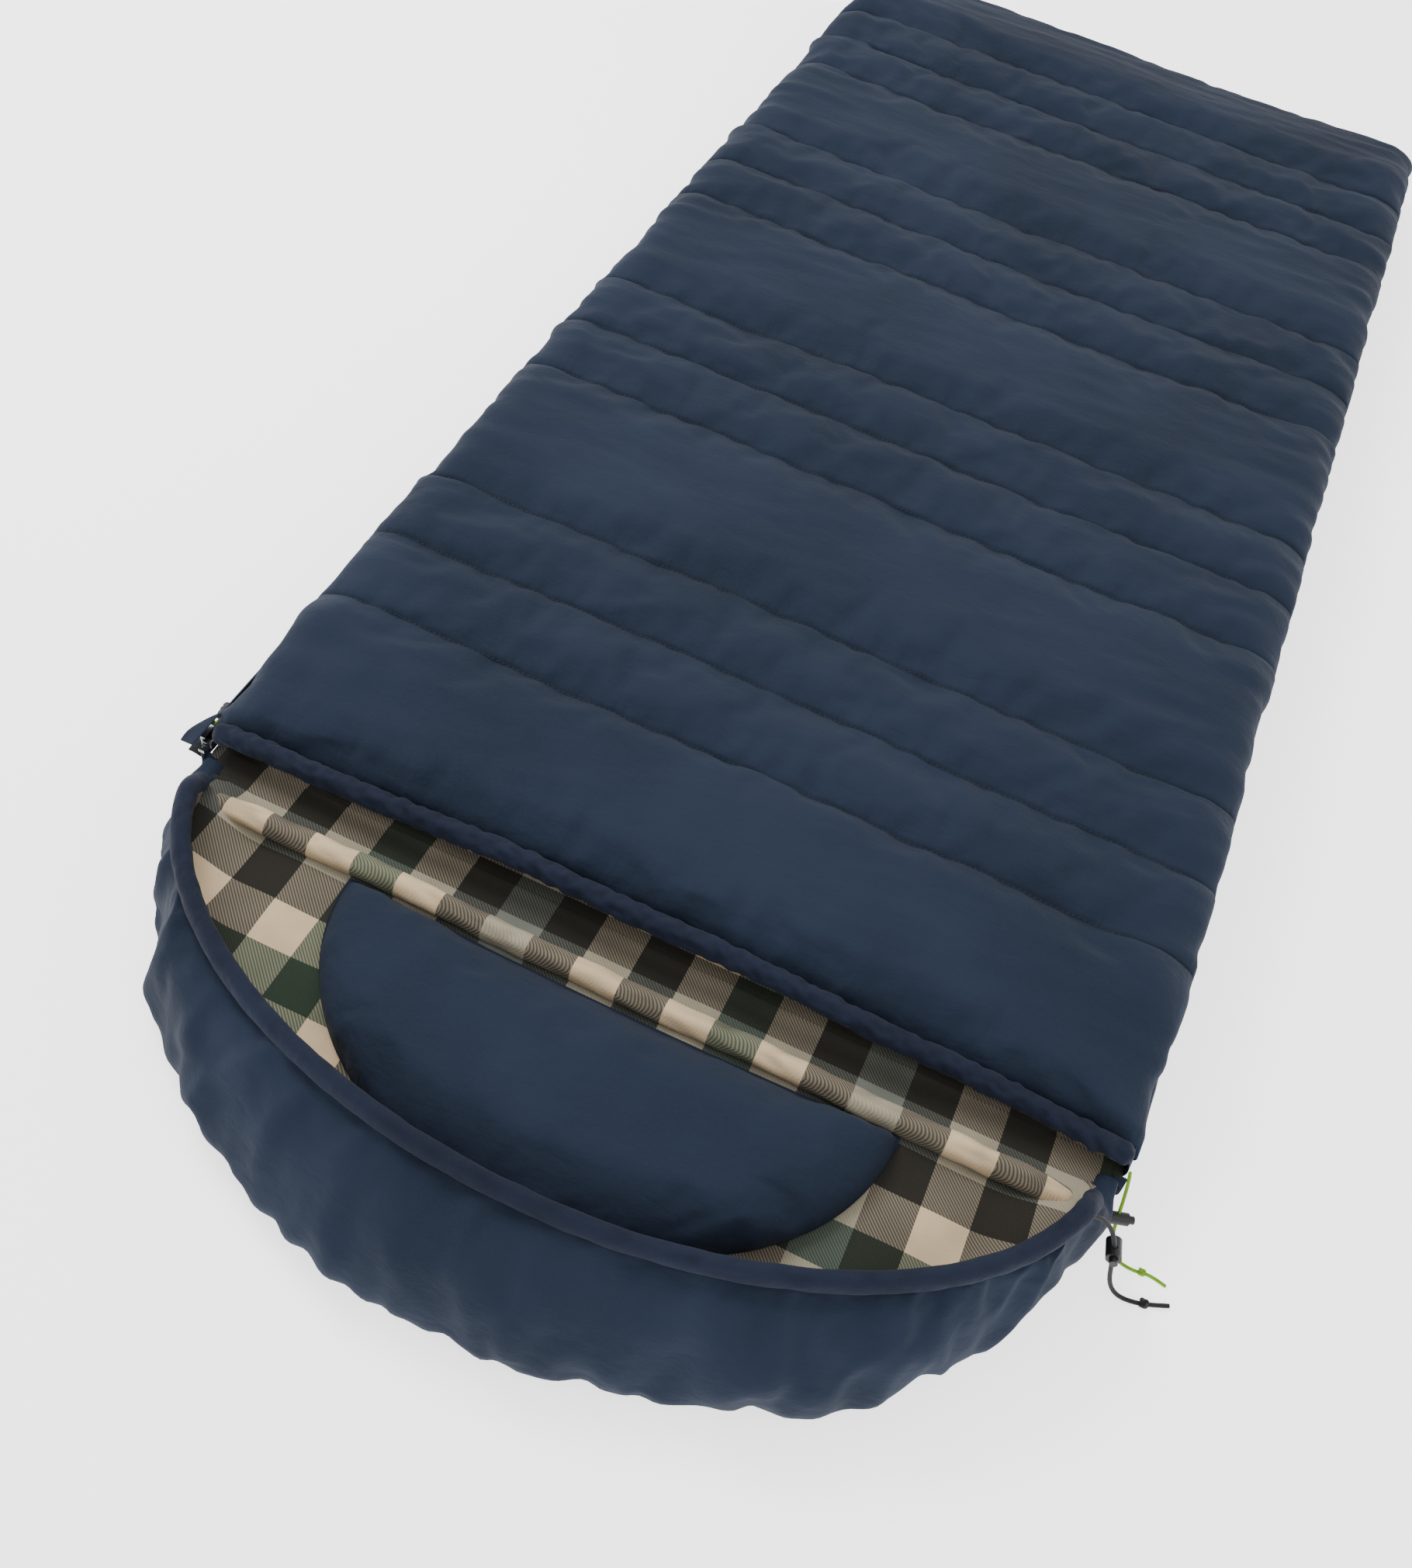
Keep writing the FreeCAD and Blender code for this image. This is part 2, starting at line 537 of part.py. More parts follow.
def slider_set(end, turn, x, y):
    """A slider, its pull tab, cord loop and grip. Built at the west side, then turned."""
    facing = Rotation(Vector(0, 0, 1), turn)

    def seat(node, piece):
        piece.Placement.Rotation = facing
        return keep(node, bind(piece, x=x, y=y, z="place.chain"))

    half = "size.slider_length / 2"
    outer = box(f"{end}_outer", "-place.plate_out - size.plate_thick", f"-{half}",
                "-size.slider_height / 2", "size.plate_thick", "size.slider_length",
                "size.slider_height")
    inner = box(f"{end}_inner", "-place.plate_in", f"-{half}",
                "-size.inner_plate_height / 2", "size.plate_thick", "size.slider_length",
                "size.inner_plate_height")
    post = box(f"{end}_post", "-place.plate_out", f"-{half}",
               "-size.chain_gap / 2 + size.body_gap", "place.plate_out - place.plate_in",
               "size.post_length", "size.chain_gap - 2 * size.body_gap")
    lips = [box(f"{end}_lip{sign}", "-place.plate_out", f"-{half}",
                f"{sign}size.slider_height / 2 - {back}", "place.plate_out"
                " - place.tape_outer - size.plate_gap", "size.slider_length",
                "size.lip_height")
            for sign, back in (("", "size.lip_height"), ("-", "0"))]
    ears = [box(f"{end}_ear{sign}", "-place.pin_out - size.pin_dia", "-size.ear_length / 2",
                f"{sign}size.inner_plate_height / 2 - {back}",
                "size.pin_dia + size.pin_standoff", "size.ear_length", "size.ear_height")
            for sign, back in (("", "0"), ("-", "size.ear_height"))]
    pin = cylinder(f"{end}_pin", "size.pin_dia / 2",
                   "size.inner_plate_height + size.ear_height",
                   "-place.pin_out", "0",
                   "-(size.inner_plate_height + size.ear_height) / 2")
    seat(f"{end}_slider", fuse(f"{end}_slider", [outer, inner, post, pin] + lips + ears))

    tab_half = "(size.inner_plate_height / 2 - size.body_gap - size.layer_gap)"
    eye = cylinder(f"{end}_eye", "size.tab_eye_dia / 2", f"2 * {tab_half}",
                   "-place.pin_out", "0", f"-{tab_half}")
    strap = box(f"{end}_strap", "-place.pin_out - size.tab_thick / 2", "0", f"-{tab_half}",
                "size.tab_thick", "size.tab_length", f"2 * {tab_half}")
    pin_hole = cylinder(f"{end}_pin_hole", "size.pin_dia / 2 + size.pin_play",
                        "size.slider_height", "-place.pin_out", "0",
                        "-size.slider_height / 2")
    cord_hole = cylinder(f"{end}_cord_hole", "size.tab_hole_dia / 2", "size.tab_length",
                         "-place.pin_out - size.tab_length / 2",
                         "size.tab_length - size.tab_hole_dia", "0", Vector(1, 0, 0))
    seat(f"{end}_pull_tab", boolean("Cut", f"{end}_pull_tab",
                                    fuse(f"{end}_tab_body", [eye, strap]),
                                    fuse(f"{end}_tab_holes", [pin_hole, cord_hole])))

    bend = (size.tab_thick + size.pull_cord_dia) / 2 + size.layer_gap
    start = size.tab_length - size.tab_hole_dia + bend
    grip_start = size.tab_length + size.grip_socket
    reach = grip_start + size.grip_socket - size.layer_gap
    centre = -place.pin_out
    loop = [Part.LineSegment(Vector(centre - bend, reach, 0),
                             Vector(centre - bend, start, 0)).toShape(),
            Part.Arc(Vector(centre - bend, start, 0), Vector(centre, start - bend, 0),
                     Vector(centre + bend, start, 0)).toShape(),
            Part.LineSegment(Vector(centre + bend, start, 0),
                             Vector(centre + bend, reach, 0)).toShape()]
    seat(f"{end}_pull_cord", computed(f"{end}_pull_cord",
                                      swept(loop, size.pull_cord_dia / 2)))

    grip = doc.addObject("Part::Cone", f"{end}_grip_body")
    grip.Placement.Rotation = Rotation(Vector(0, 0, 1), Vector(0, 1, 0))
    begin = "size.tab_length + size.grip_socket"
    bind(grip, Radius1="size.grip_dia / 2", Radius2="size.grip_dia / 2 - size.tab_thick / 2",
         Height="size.grip_length", x="-place.pin_out", y=begin)
    socket = cylinder(f"{end}_socket", "size.tab_thick / 2 + size.pull_cord_dia"
                      " + 2 * size.layer_gap", "size.grip_socket",
                      "-place.pin_out", begin, "0", Vector(0, 1, 0))
    seat(f"{end}_pull_grip", boolean("Cut", f"{end}_pull_grip", grip, socket))


# ---------------------------------------------------------------- flap, patches, label

def garage_flap():
    """The small cloth flap over the parked head slider, sloping out from the upper quilt."""
    flap = pad("garage_flap", "XY_Plane", "-size.flap_thick",
               [("-size.flap_reach", "-size.flap_overhang / 4"),
                ("0", "-size.flap_overhang + size.flap_length / 4"),
                ("0", "size.flap_length - size.flap_overhang"),
                ("-size.flap_reach / 2", "size.flap_length - 1.5 * size.flap_overhang")],
               "size.flap_thick")
    patch = box("flap_patch", "-size.flap_reach / 2 - size.patch_width / 3",
                "0", "-size.flap_thick - size.layer_gap - size.patch_thick",
                "2 * size.patch_width / 3", "size.patch_length / 3", "size.patch_thick")
    slope = Rotation(Vector(0, 1, 0), -size.flap_slope_deg)
    for node, piece in (("garage_flap", flap), ("flap_patch", patch)):
        holder = doc.addObject("Part::Compound", f"{node}_placed")
        holder.Links = [piece]
        holder.Placement.Rotation = slope
        bind(holder, x="-place.side - 3 * size.body_gap", y="place.opening",
             z="place.chain + size.flap_rise")
        keep(node, holder)


def side_trim():
    """The hook patch and the blank woven tab on the zipped side of the lower quilt."""
    keep("hook_patch", box("hook_patch", "-place.side - size.layer_gap - size.patch_thick",
                           "place.opening + size.corner_round", "size.patch_height + size.layer_gap"
                           " + size.patch_thick", "size.patch_thick", "size.patch_length",
                           "size.patch_width"))
    keep("label_tab", box("label_tab", "-place.side - place.tape_outer - size.layer_gap"
                          " - size.label_reach", "place.opening", "place.chain - size.label_drop"
                          " + size.edge_round / 2", "size.label_reach",
                          "size.label_length", "size.label_thick"))


# ---------------------------------------------------------------- drawcords and locks

# Free ends of the drawcords, from where they leave the rims to their cut ends.
OPENING_CORD = [(434, -759.2, 71), (439, -763, 56), (446, -791, 14), (456, -799, 3.5),
                (473, -801, 1.8), (487, -797, 1.8), (502, -801, 1.8)]
HOOD_CORD = [(398.8, -834.6, 94.9), (408, -822, 92), (424, -816, 84), (438, -819, 67),
             (446, -823, 40), (454, -827, 14), (465, -829, 4), (480, -827, 2.3),
             (495, -822, 2.3), (508, -816, 2.3)]


def cord_tube(name, route, diameter):
    """Straight runs joined by arcs as large as their runs allow; the radii are printed."""
    points = [Vector(*point) for point in route]
    runs = [(b - a).Length for a, b in zip(points, points[1:])]
    edges, radii, start = [], [], points[0]
    for i in range(1, len(points) - 1):
        back = (points[i - 1] - points[i]).normalize()
        ahead = (points[i + 1] - points[i]).normalize()
        trim = 0.45 * min(runs[i - 1], runs[i])
        half_turn = (math.pi - back.getAngle(ahead)) / 2
        radius = trim / math.tan(half_turn)
        middle = points[i] + (back + ahead).normalize() * (
            radius / math.cos(half_turn) - radius)
        enter, leave = points[i] + back * trim, points[i] + ahead * trim
        edges.append(Part.LineSegment(start, enter).toShape())
        edges.append(Part.Arc(enter, middle, leave).toShape())
        radii.append(round(radius, 1))
        start = leave
    edges.append(Part.LineSegment(start, points[-1]).toShape())
    tube = swept(edges, diameter / 2)
    length = sum(edge.Length for edge in edges)
    expected = length * math.pi * diameter ** 2 / 4
    print(f"{name}: length {length:.1f}, radii {radii}, volume ratio "
          f"{tube.Volume / expected:.4f}")
    return keep(name, computed(name, tube))


def aligned(shape, origin, axis):
    """Move a shape made along +Z at the origin so that it runs along an axis."""
    shape.Placement = FreeCAD.Placement(origin, Rotation(Vector(0, 0, 1), axis))
    return shape


def coil_spring(coil_r, height, wire_r):
    """A coil spring standing on the origin, its wire laid in quarter turns."""
    quarters = 4 * round(size.spring_turns)

    def point(i):
        turn = math.tau * i / 4
        return Vector(coil_r * math.cos(turn), coil_r * math.sin(turn),
                      height * i / quarters)

    wire = [Part.Arc(point(i), point(i + 0.5), point(i + 1)).toShape()
            for i in range(quarters)]
    return swept(wire, wire_r)


def cord_lock(prefix, route, run, share, dia, length, cord_dia, across):
    """A spring lock on one straight run of a cord: housing, coil spring and button."""
    before, after = Vector(*route[run]), Vector(*route[run + 1])
    along = (after - before).normalize()
    centre = before + (after - before) * share
    axis = (across - along * across.dot(along)).normalize()
    bore = cord_dia / 2 + size.bore_play
    wall, button_r = size.lock_wall, size.button_dia / 2
    button_start = wall + size.spring_room
    cord_place = button_start + wall + bore
    back = centre - axis * cord_place

    def rod(radius, start, end):
        return aligned(Part.makeCylinder(radius, end - start), back + axis * start, axis)

    passage = aligned(Part.makeCylinder(bore, 2 * dia), centre - along * dia, along)
    chamber = rod(button_r + size.body_gap, wall, length + wall)
    housing = rod(dia / 2, 0, length).cut(chamber).cut(passage)
    keep(f"{prefix}_housing", computed(f"{prefix}_housing", housing))

    button = rod(button_r, button_start, length + size.button_out)
    half = bore - size.body_gap
    slot = Part.makeBox(2 * half, 2 * dia, 2 * half + size.button_stroke + size.body_gap,
                        Vector(-half, -dia, -half - size.body_gap / 2))
    slot.Placement = FreeCAD.Placement(centre, Rotation(axis.cross(along) * -1, along, axis))
    keep(f"{prefix}_button", computed(f"{prefix}_button", button.cut(slot)))

    gap, wire_r = size.layer_gap, size.spring_wire / 2
    coil_height = size.spring_room - 2 * gap - 2 * wire_r
    spring = coil_spring(button_r - wire_r - gap, coil_height, wire_r)
    keep(f"{prefix}_spring", computed(f"{prefix}_spring",
                                      aligned(spring, back + axis * (wall + gap + wire_r), axis)))


def knot(node, route, run, share, dia, cord_dia):
    """The knot near a cord's end, as a ball that the cord runs through."""
    before, after = Vector(*route[run]), Vector(*route[run + 1])
    centre = before + (after - before) * share
    ball = Part.makeSphere(dia / 2, centre)
    along = (after - before).normalize()
    hole = aligned(Part.makeCylinder(cord_dia / 2 + size.bore_play, 2 * dia),
                   centre - along * dia, along)
    floor = Part.makeBox(4 * dia, 4 * dia, dia, centre - Vector(2 * dia, 2 * dia,
                                                             centre.z - size.layer_gap + dia))
    keep(node, computed(node, ball.cut(hole).cut(floor)))


for make in (lower_quilt, fold_strips, draft_tube, upper_quilt, opening_rim, hood_base,
             hood_brim, hood_rim, pillow, neck_roll, zip_halves, zip_stops,
             garage_flap, side_trim):
    make()
slider_set("head", 0, "-place.side", "place.head_pin")
slider_set("foot", -90, "place.foot_pin", "place.foot")
cord_tube("opening_cord_tail", OPENING_CORD, size.drawcord_dia)
cord_tube("hood_cord_tail", HOOD_CORD, size.hood_cord_dia)
cord_lock("barrel_lock", OPENING_CORD, 1, 0.58, size.lock_dia, size.lock_length,
          size.drawcord_dia, Vector(1, 0.4, 0))
cord_lock("round_lock", HOOD_CORD, 3, 0.5, size.toggle_dia, size.toggle_length,
          size.hood_cord_dia, Vector(0.2, -1, 0))
knot("opening_cord_knot", OPENING_CORD, 4, 0.5, size.knot_dia, size.drawcord_dia)
knot("hood_cord_knot", HOOD_CORD, 7, 0.5, size.hood_knot_dia, size.hood_cord_dia)

doc.recompute()
for piece in doc.Objects:
    if {"Invalid", "Error"} & set(piece.State):
        raise SystemExit(f"{piece.Label} failed: {piece.State}")
for node, piece in nodes.items():
    if piece.Shape.isNull() or not piece.Shape.isValid():
        raise SystemExit(f"{node} has no valid shape")

os.makedirs("parts", exist_ok=True)
for node, piece in nodes.items():
    piece.Shape.exportStep(f"parts/{node}.step")
    box_of = piece.Shape.BoundBox
    print(f"{node}: {len(piece.Shape.Solids)} solid(s), volume {piece.Shape.Volume:.0f}, "
          f"x {box_of.XMin:.1f}..{box_of.XMax:.1f}, y {box_of.YMin:.1f}..{box_of.YMax:.1f}, "
          f"z {box_of.ZMin:.1f}..{box_of.ZMax:.1f}")
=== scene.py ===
import math

import bmesh
import bpy
from mathutils import Matrix, Vector, noise
from mathutils.bvhtree import BVHTree


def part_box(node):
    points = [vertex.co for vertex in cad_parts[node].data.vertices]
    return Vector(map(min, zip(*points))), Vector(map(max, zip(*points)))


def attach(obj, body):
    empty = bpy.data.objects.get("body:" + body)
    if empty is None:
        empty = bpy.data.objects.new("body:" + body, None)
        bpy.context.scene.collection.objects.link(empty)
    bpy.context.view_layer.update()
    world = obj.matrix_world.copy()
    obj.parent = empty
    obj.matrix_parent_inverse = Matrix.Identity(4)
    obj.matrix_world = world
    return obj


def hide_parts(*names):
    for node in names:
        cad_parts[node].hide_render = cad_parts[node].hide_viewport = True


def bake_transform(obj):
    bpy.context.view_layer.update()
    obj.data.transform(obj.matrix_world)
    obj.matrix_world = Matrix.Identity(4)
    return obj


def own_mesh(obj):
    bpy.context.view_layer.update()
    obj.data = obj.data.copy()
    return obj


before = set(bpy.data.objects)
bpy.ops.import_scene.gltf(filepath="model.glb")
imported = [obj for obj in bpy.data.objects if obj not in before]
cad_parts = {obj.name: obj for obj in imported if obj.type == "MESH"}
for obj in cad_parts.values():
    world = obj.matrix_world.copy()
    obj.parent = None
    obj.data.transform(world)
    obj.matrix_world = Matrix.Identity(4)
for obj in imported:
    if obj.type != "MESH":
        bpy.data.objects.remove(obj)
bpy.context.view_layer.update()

# Hooded rectangular sleeping bag lying closed on the ground, in metres, in the CAD frame:
# +X folded side, -X zipped side, +Y foot, -Y hood, +Z up.

MM = 0.001
LINING_WALL = 0.0012
ABOVE_ALL = 0.4


# ---------------------------------------------------------------- camera

def make_camera():
    camera = bpy.data.cameras.new("camera")
    camera.lens = 36.14
    camera.sensor_width = 36
    camera.clip_end = 50
    right = Vector((0.90489713, 0.395871, 0.1563564))
    up = Vector((-0.40362394, 0.68152154, 0.6104229))
    back = right.cross(up)
    place = Matrix((right, up, back)).transposed().to_4x4()
    place.translation = (0.1689, -1.4636, 1.1965)
    holder = bpy.data.objects.new("camera", camera)
    holder.matrix_world = place
    bpy.context.scene.collection.objects.link(holder)
    bpy.context.scene.camera = holder


make_camera()


# ---------------------------------------------------------------- finishes

def srgb(red, green, blue):
    """A colour given in the usual 0 to 255 steps, as the shader wants it."""
    def linear(step):
        share = step / 255
        return share / 12.92 if share <= 0.04045 else ((share + 0.055) / 1.055) ** 2.4
    return (linear(red), linear(green), linear(blue), 1)


class Finish:
    """A material and the few kinds of node that the finishes here are made from."""

    def __init__(self, name, roughness, specular=0.3, sheen=0.0, metallic=0.0, coat=0.0):
        self.material = bpy.data.materials.new(name)
        self.material.use_nodes = True
        self.tree = self.material.node_tree
        self.shader = self.tree.nodes["Principled BSDF"]
        self.shader.inputs["Roughness"].default_value = roughness
        self.shader.inputs["Specular IOR Level"].default_value = specular
        self.shader.inputs["Metallic"].default_value = metallic
        self.shader.inputs["Coat Weight"].default_value = coat
        if sheen:
            self.shader.inputs["Sheen Weight"].default_value = sheen
            self.shader.inputs["Sheen Roughness"].default_value = 0.5

    def node(self, kind, **settings):
        made = self.tree.nodes.new(kind)
        for key, value in settings.items():
            setattr(made, key, value)
        return made

    def link(self, source, target):
        self.tree.links.new(source, target)

    def fill(self, socket, value):
        if isinstance(value, bpy.types.NodeSocket):
            self.link(value, socket)
        else:
            socket.default_value = value

    def place(self, scale=(1, 1, 1), turn=0.0, cloth=False):
        """Object coordinates, or the cloth's own flat coordinates, stretched and turned."""
        where = self.node("ShaderNodeTexCoord").outputs["UV" if cloth else "Object"]
        mapping = self.node("ShaderNodeMapping")
        mapping.inputs["Scale"].default_value = scale
        mapping.inputs["Rotation"].default_value = (0, 0, turn)
        self.link(where, mapping.inputs["Vector"])
        return mapping.outputs["Vector"]

    def noise(self, where, scale, detail=2.0, roughness=0.5):
        made = self.node("ShaderNodeTexNoise")
        made.inputs["Scale"].default_value = scale
        made.inputs["Detail"].default_value = detail
        made.inputs["Roughness"].default_value = roughness
        self.link(where, made.inputs["Vector"])
        return made.outputs["Fac"]

    def maths(self, operation, first, second=0.0):
        made = self.node("ShaderNodeMath", operation=operation)
        self.fill(made.inputs[0], first)
        self.fill(made.inputs[1], second)
        return made.outputs[0]

    def mix(self, share, first, second, blend="MIX"):
        made = self.node("ShaderNodeMix", data_type="RGBA", blend_type=blend)
        self.fill(made.inputs["Factor"], share)
        self.fill(made.inputs[6], first)
        self.fill(made.inputs[7], second)
        return made.outputs[2]

    def ramp(self, share, stops, hard=False):
        made = self.node("ShaderNodeValToRGB")
        made.color_ramp.interpolation = "CONSTANT" if hard else "LINEAR"
        while len(made.color_ramp.elements) < len(stops):
            made.color_ramp.elements.new(0.5)
        for element, (position, colour) in zip(made.color_ramp.elements, stops):
            element.position = position
            element.color = colour
        self.link(share, made.inputs["Fac"])
        return made.outputs["Color"]

    def attribute(self, name):
        return self.node("ShaderNodeAttribute", attribute_name=name).outputs["Fac"]

    def bump(self, height, distance, strength=1.0):
        made = self.node("ShaderNodeBump")
        made.inputs["Strength"].default_value = strength
        made.inputs["Distance"].default_value = distance
        self.link(height, made.inputs["Height"])
        self.link(made.outputs["Normal"], self.shader.inputs["Normal"])

    def colour(self, value):
        self.fill(self.shader.inputs["Base Color"], value)
        return self.material


def brushed_shell(name, light, dark, shade_colour):
    """Brushed microfibre: soft mottling, fine fibres, a plain weave, and painted shade in creases
    and along seams.
    """
    cloth = Finish(name, roughness=0.88, specular=0.12, sheen=0.035)
    broad = cloth.noise(cloth.place(), 5.5, 3)
    fibres = cloth.noise(cloth.place((1, 0.3, 1)), 900, 3, 0.6)
    ground = cloth.mix(cloth.ramp(broad, [(0.35, (0, 0, 0, 1)), (0.65, (1, 1, 1, 1))]),
                       dark, light)
    ground = cloth.mix(cloth.ramp(fibres, [(0.3, (0, 0, 0, 1)), (0.7, (0.55, 0.55, 0.55, 1))]),
                       ground, light)
    # painted shade: the crease attribute darkens creases and seams towards the shade colour
    crease_shaded = cloth.mix(cloth.attribute("crease_shade"), ground, shade_colour)
    pucker = cloth.noise(cloth.place((1, 0.12, 0.5)), 95, 2)
    gather = cloth.maths("MULTIPLY", cloth.attribute("gather"), pucker)
    weave = cloth.noise(cloth.place(), 1500, 1)
    crinkle = cloth.noise(cloth.place((0.55, 1, 1), 0.35), 34, 4, 0.55)
    crinkle = cloth.maths("ABSOLUTE", cloth.maths("SUBTRACT", crinkle, 0.5))
    gather = cloth.maths("ADD", gather, cloth.maths("MULTIPLY", crinkle, 1.1))
    height = cloth.maths("ADD", cloth.maths("MULTIPLY", gather, 2.2),
                         cloth.maths("ADD", cloth.maths("MULTIPLY", fibres, 0.18),
                                     cloth.maths("MULTIPLY", weave, 0.12)))
    cloth.bump(height, 0.0016, 0.8)
    return cloth.colour(crease_shaded)


BAND_WIDTH = 0.042
TWILL_PITCH = 0.0034


def plaid_flannel():
    """Brushed cotton check: broad bands both ways, mixed by a diagonal twill."""
    cloth = Finish("plaid_flannel", roughness=0.95, specular=0.06, sheen=0.04)
    cream, charcoal = srgb(228, 211, 184), srgb(31, 34, 32)
    grey, green = srgb(150, 154, 146), srgb(40, 74, 58)
    bands = [cream, charcoal, cream, green, cream, charcoal, grey, charcoal]
    where = cloth.place(cloth=True)
    split = cloth.node("ShaderNodeSeparateXYZ")
    cloth.link(where, split.inputs[0])
    along, across = split.outputs[0], split.outputs[1]
    repeat = 1 / (len(bands) * BAND_WIDTH)

    def banding(axis, offset):
        step = cloth.maths("FRACT", cloth.maths("ADD", cloth.maths("MULTIPLY", axis, repeat),
                                                offset))
        return cloth.ramp(step, [(i / len(bands), band) for i, band in enumerate(bands)],
                          hard=True)

    twill = cloth.maths("SINE", cloth.maths("MULTIPLY", cloth.maths("ADD", along, across),
                                            math.tau / TWILL_PITCH))
    share = cloth.maths("ADD", cloth.maths("MULTIPLY", twill, 0.36), 0.5)
    warp, weft = banding(along, 0.08), banding(across, 0.5)
    check = cloth.mix(0.68, cloth.mix(share, warp, weft), cloth.mix(1.0, warp, weft, "MULTIPLY"))
    nap = cloth.noise(where, 1100, 3, 0.6)
    soft = cloth.noise(where, 22, 2)
    check = cloth.mix(cloth.maths("MULTIPLY", nap, 0.22), check, srgb(120, 112, 100))
    check = cloth.mix(cloth.maths("MULTIPLY", cloth.maths("SUBTRACT", 0.62, soft), 0.5), check,
                      (0.02, 0.02, 0.018, 1))
    # painted shade: darker in creases and along seams, from the crease attribute
    check = cloth.mix(cloth.attribute("crease_shade"), check, (0.03, 0.028, 0.022, 1))
    height = cloth.maths("ADD", cloth.maths("MULTIPLY", twill, 0.12),
                         cloth.maths("MULTIPLY", nap, 0.7))
    cloth.bump(height, 0.0008, 0.7)
    return cloth.colour(check)


def moulded(name, colour, roughness, grain=0.0, specular=0.4, metallic=0.0):
    """Moulded plastic or metal with a fine grain."""
    made = Finish(name, roughness, specular=specular, metallic=metallic)
    speck = made.noise(made.place(), 700, 3)
    broad = made.noise(made.place(), 90, 2)
    lifted = tuple(min(1, channel * 1.7 + 0.004) for channel in colour[:3]) + (1,)
    made.bump(made.maths("ADD", speck, broad), 0.0002 + grain, 0.4)
    return made.colour(made.mix(made.maths("MULTIPLY", broad, 0.5), colour, lifted))


def braided(name, colour, dark, pitch=900):
    """Round braided cord: crossing strands seen as a fine checker of light and shade."""
    made = Finish(name, roughness=0.6, specular=0.25, sheen=0.1)
    where = made.place()
    one = made.node("ShaderNodeTexWave", wave_type="BANDS", bands_direction="DIAGONAL")
    one.inputs["Scale"].default_value = pitch
    made.link(where, one.inputs["Vector"])
    other = made.node("ShaderNodeTexWave", wave_type="BANDS", bands_direction="X")
    other.inputs["Scale"].default_value = pitch * 0.8
    made.link(made.place((1, -1, 1), 0.9), other.inputs["Vector"])
    strands = made.maths("MULTIPLY", one.outputs["Fac"], other.outputs["Fac"])
    made.bump(strands, 0.0004, 0.8)
    return made.colour(made.mix(strands, dark, colour))


def woven(name, colour, lift, pitch=520):
    """Flat woven tape: ribs across it, with painted highlight on the ribs' raised crests and
    random fibre tone.
    """
    made = Finish(name, roughness=0.8, specular=0.2, sheen=0.1)
    ribs = made.node("ShaderNodeTexWave", wave_type="BANDS", bands_direction="Z")
    ribs.inputs["Scale"].default_value = pitch
    made.link(made.place(), ribs.inputs["Vector"])
    fibres = made.noise(made.place(), 1300, 2)
    height = made.maths("ADD", ribs.outputs["Fac"], fibres)
    made.bump(height, 0.0003, 0.7)
    # painted highlight: lighter colour on the raised rib crests, mixed with random fibre tone
    return made.colour(made.mix(made.maths("MULTIPLY", height, 0.5), colour, lift))


# The third colour of each shell finish is the painted shade colour for creases and seams.
SHELL = brushed_shell("navy_shell", srgb(34, 43, 59), srgb(26, 34, 48), srgb(9, 12, 19))
TRIM = brushed_shell("navy_trim", srgb(30, 36, 52), srgb(22, 27, 41), srgb(9, 12, 20))
PLAID = plaid_flannel()
THREAD = moulded("navy_thread", srgb(30, 38, 54), 0.7)
TAPE = woven("zip_tape_cloth", srgb(28, 34, 48), srgb(52, 60, 80))
TEETH = moulded("zip_teeth", srgb(22, 25, 32), 0.42)
METAL = moulded("slider_metal", srgb(120, 122, 126), 0.34, metallic=1.0)
PLASTIC = moulded("black_plastic", srgb(20, 20, 22), 0.46, grain=0.0002)
LIME = braided("lime_cord", srgb(178, 232, 30), srgb(92, 140, 6))
BLACK = braided("black_cord", srgb(34, 34, 36), srgb(8, 8, 9))
LABEL = woven("label_cloth", srgb(16, 17, 20), srgb(44, 46, 52), 900)
LOOPS = moulded("hook_loop", srgb(24, 28, 38), 0.9, grain=0.0015)
SPRING = moulded("spring_steel", srgb(150, 150, 152), 0.25, metallic=1.0)


# ---------------------------------------------------------------- making pieces

def finish_piece(name, bm, material, body, replaced=()):
    """Turn a bmesh into a piece that rides on a body."""
    mesh = bpy.data.meshes.new(name)
    bm.to_mesh(mesh)
    bm.free()
    mesh.materials.append(material)
    mesh.polygons.foreach_set("use_smooth", [True] * len(mesh.polygons))
    piece = bpy.data.objects.new(name, mesh)
    bpy.context.scene.collection.objects.link(piece)
    if body:
        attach(piece, body)
    if replaced:
        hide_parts(*replaced)
    return piece


def repaint(material, *names):
    for name in names:
        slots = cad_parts[name].data.materials
        slots.clear()
        slots.append(material)


def drawcord(name, route, diameter, material, body, replaced):
    """A drawcord's free end, on one smooth spline with the CAD route's own points."""
    curve = bpy.data.curves.new(name, "CURVE")
    curve.dimensions = "3D"
    curve.bevel_depth = diameter / 2
    curve.bevel_resolution = 4
    curve.resolution_u = 12
    curve.use_fill_caps = True
    line = curve.splines.new("NURBS")
    line.points.add(len(route) - 1)
    for point, spot in zip(line.points, route):
        point.co = (*[step * MM for step in spot], 1)
    line.order_u = 3
    line.use_endpoint_u = True
    curve.materials.append(material)
    piece = bpy.data.objects.new(name, curve)
    bpy.context.scene.collection.objects.link(piece)
    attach(piece, body)
    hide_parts(replaced)
    return piece


# The two free ends' routes in millimetres, from where they leave the rims.
OPENING_CORD = [(434, -759.2, 71), (439, -763, 56), (446, -791, 14), (456, -799, 3.5),
                (473, -801, 1.8), (487, -797, 1.8), (502, -801, 1.8)]
HOOD_CORD = [(398.8, -834.6, 94.9), (408, -822, 92), (424, -816, 84), (438, -819, 67),
             (446, -823, 40), (454, -827, 14), (465, -829, 4), (480, -827, 2.3),
             (495, -822, 2.3), (508, -816, 2.3)]


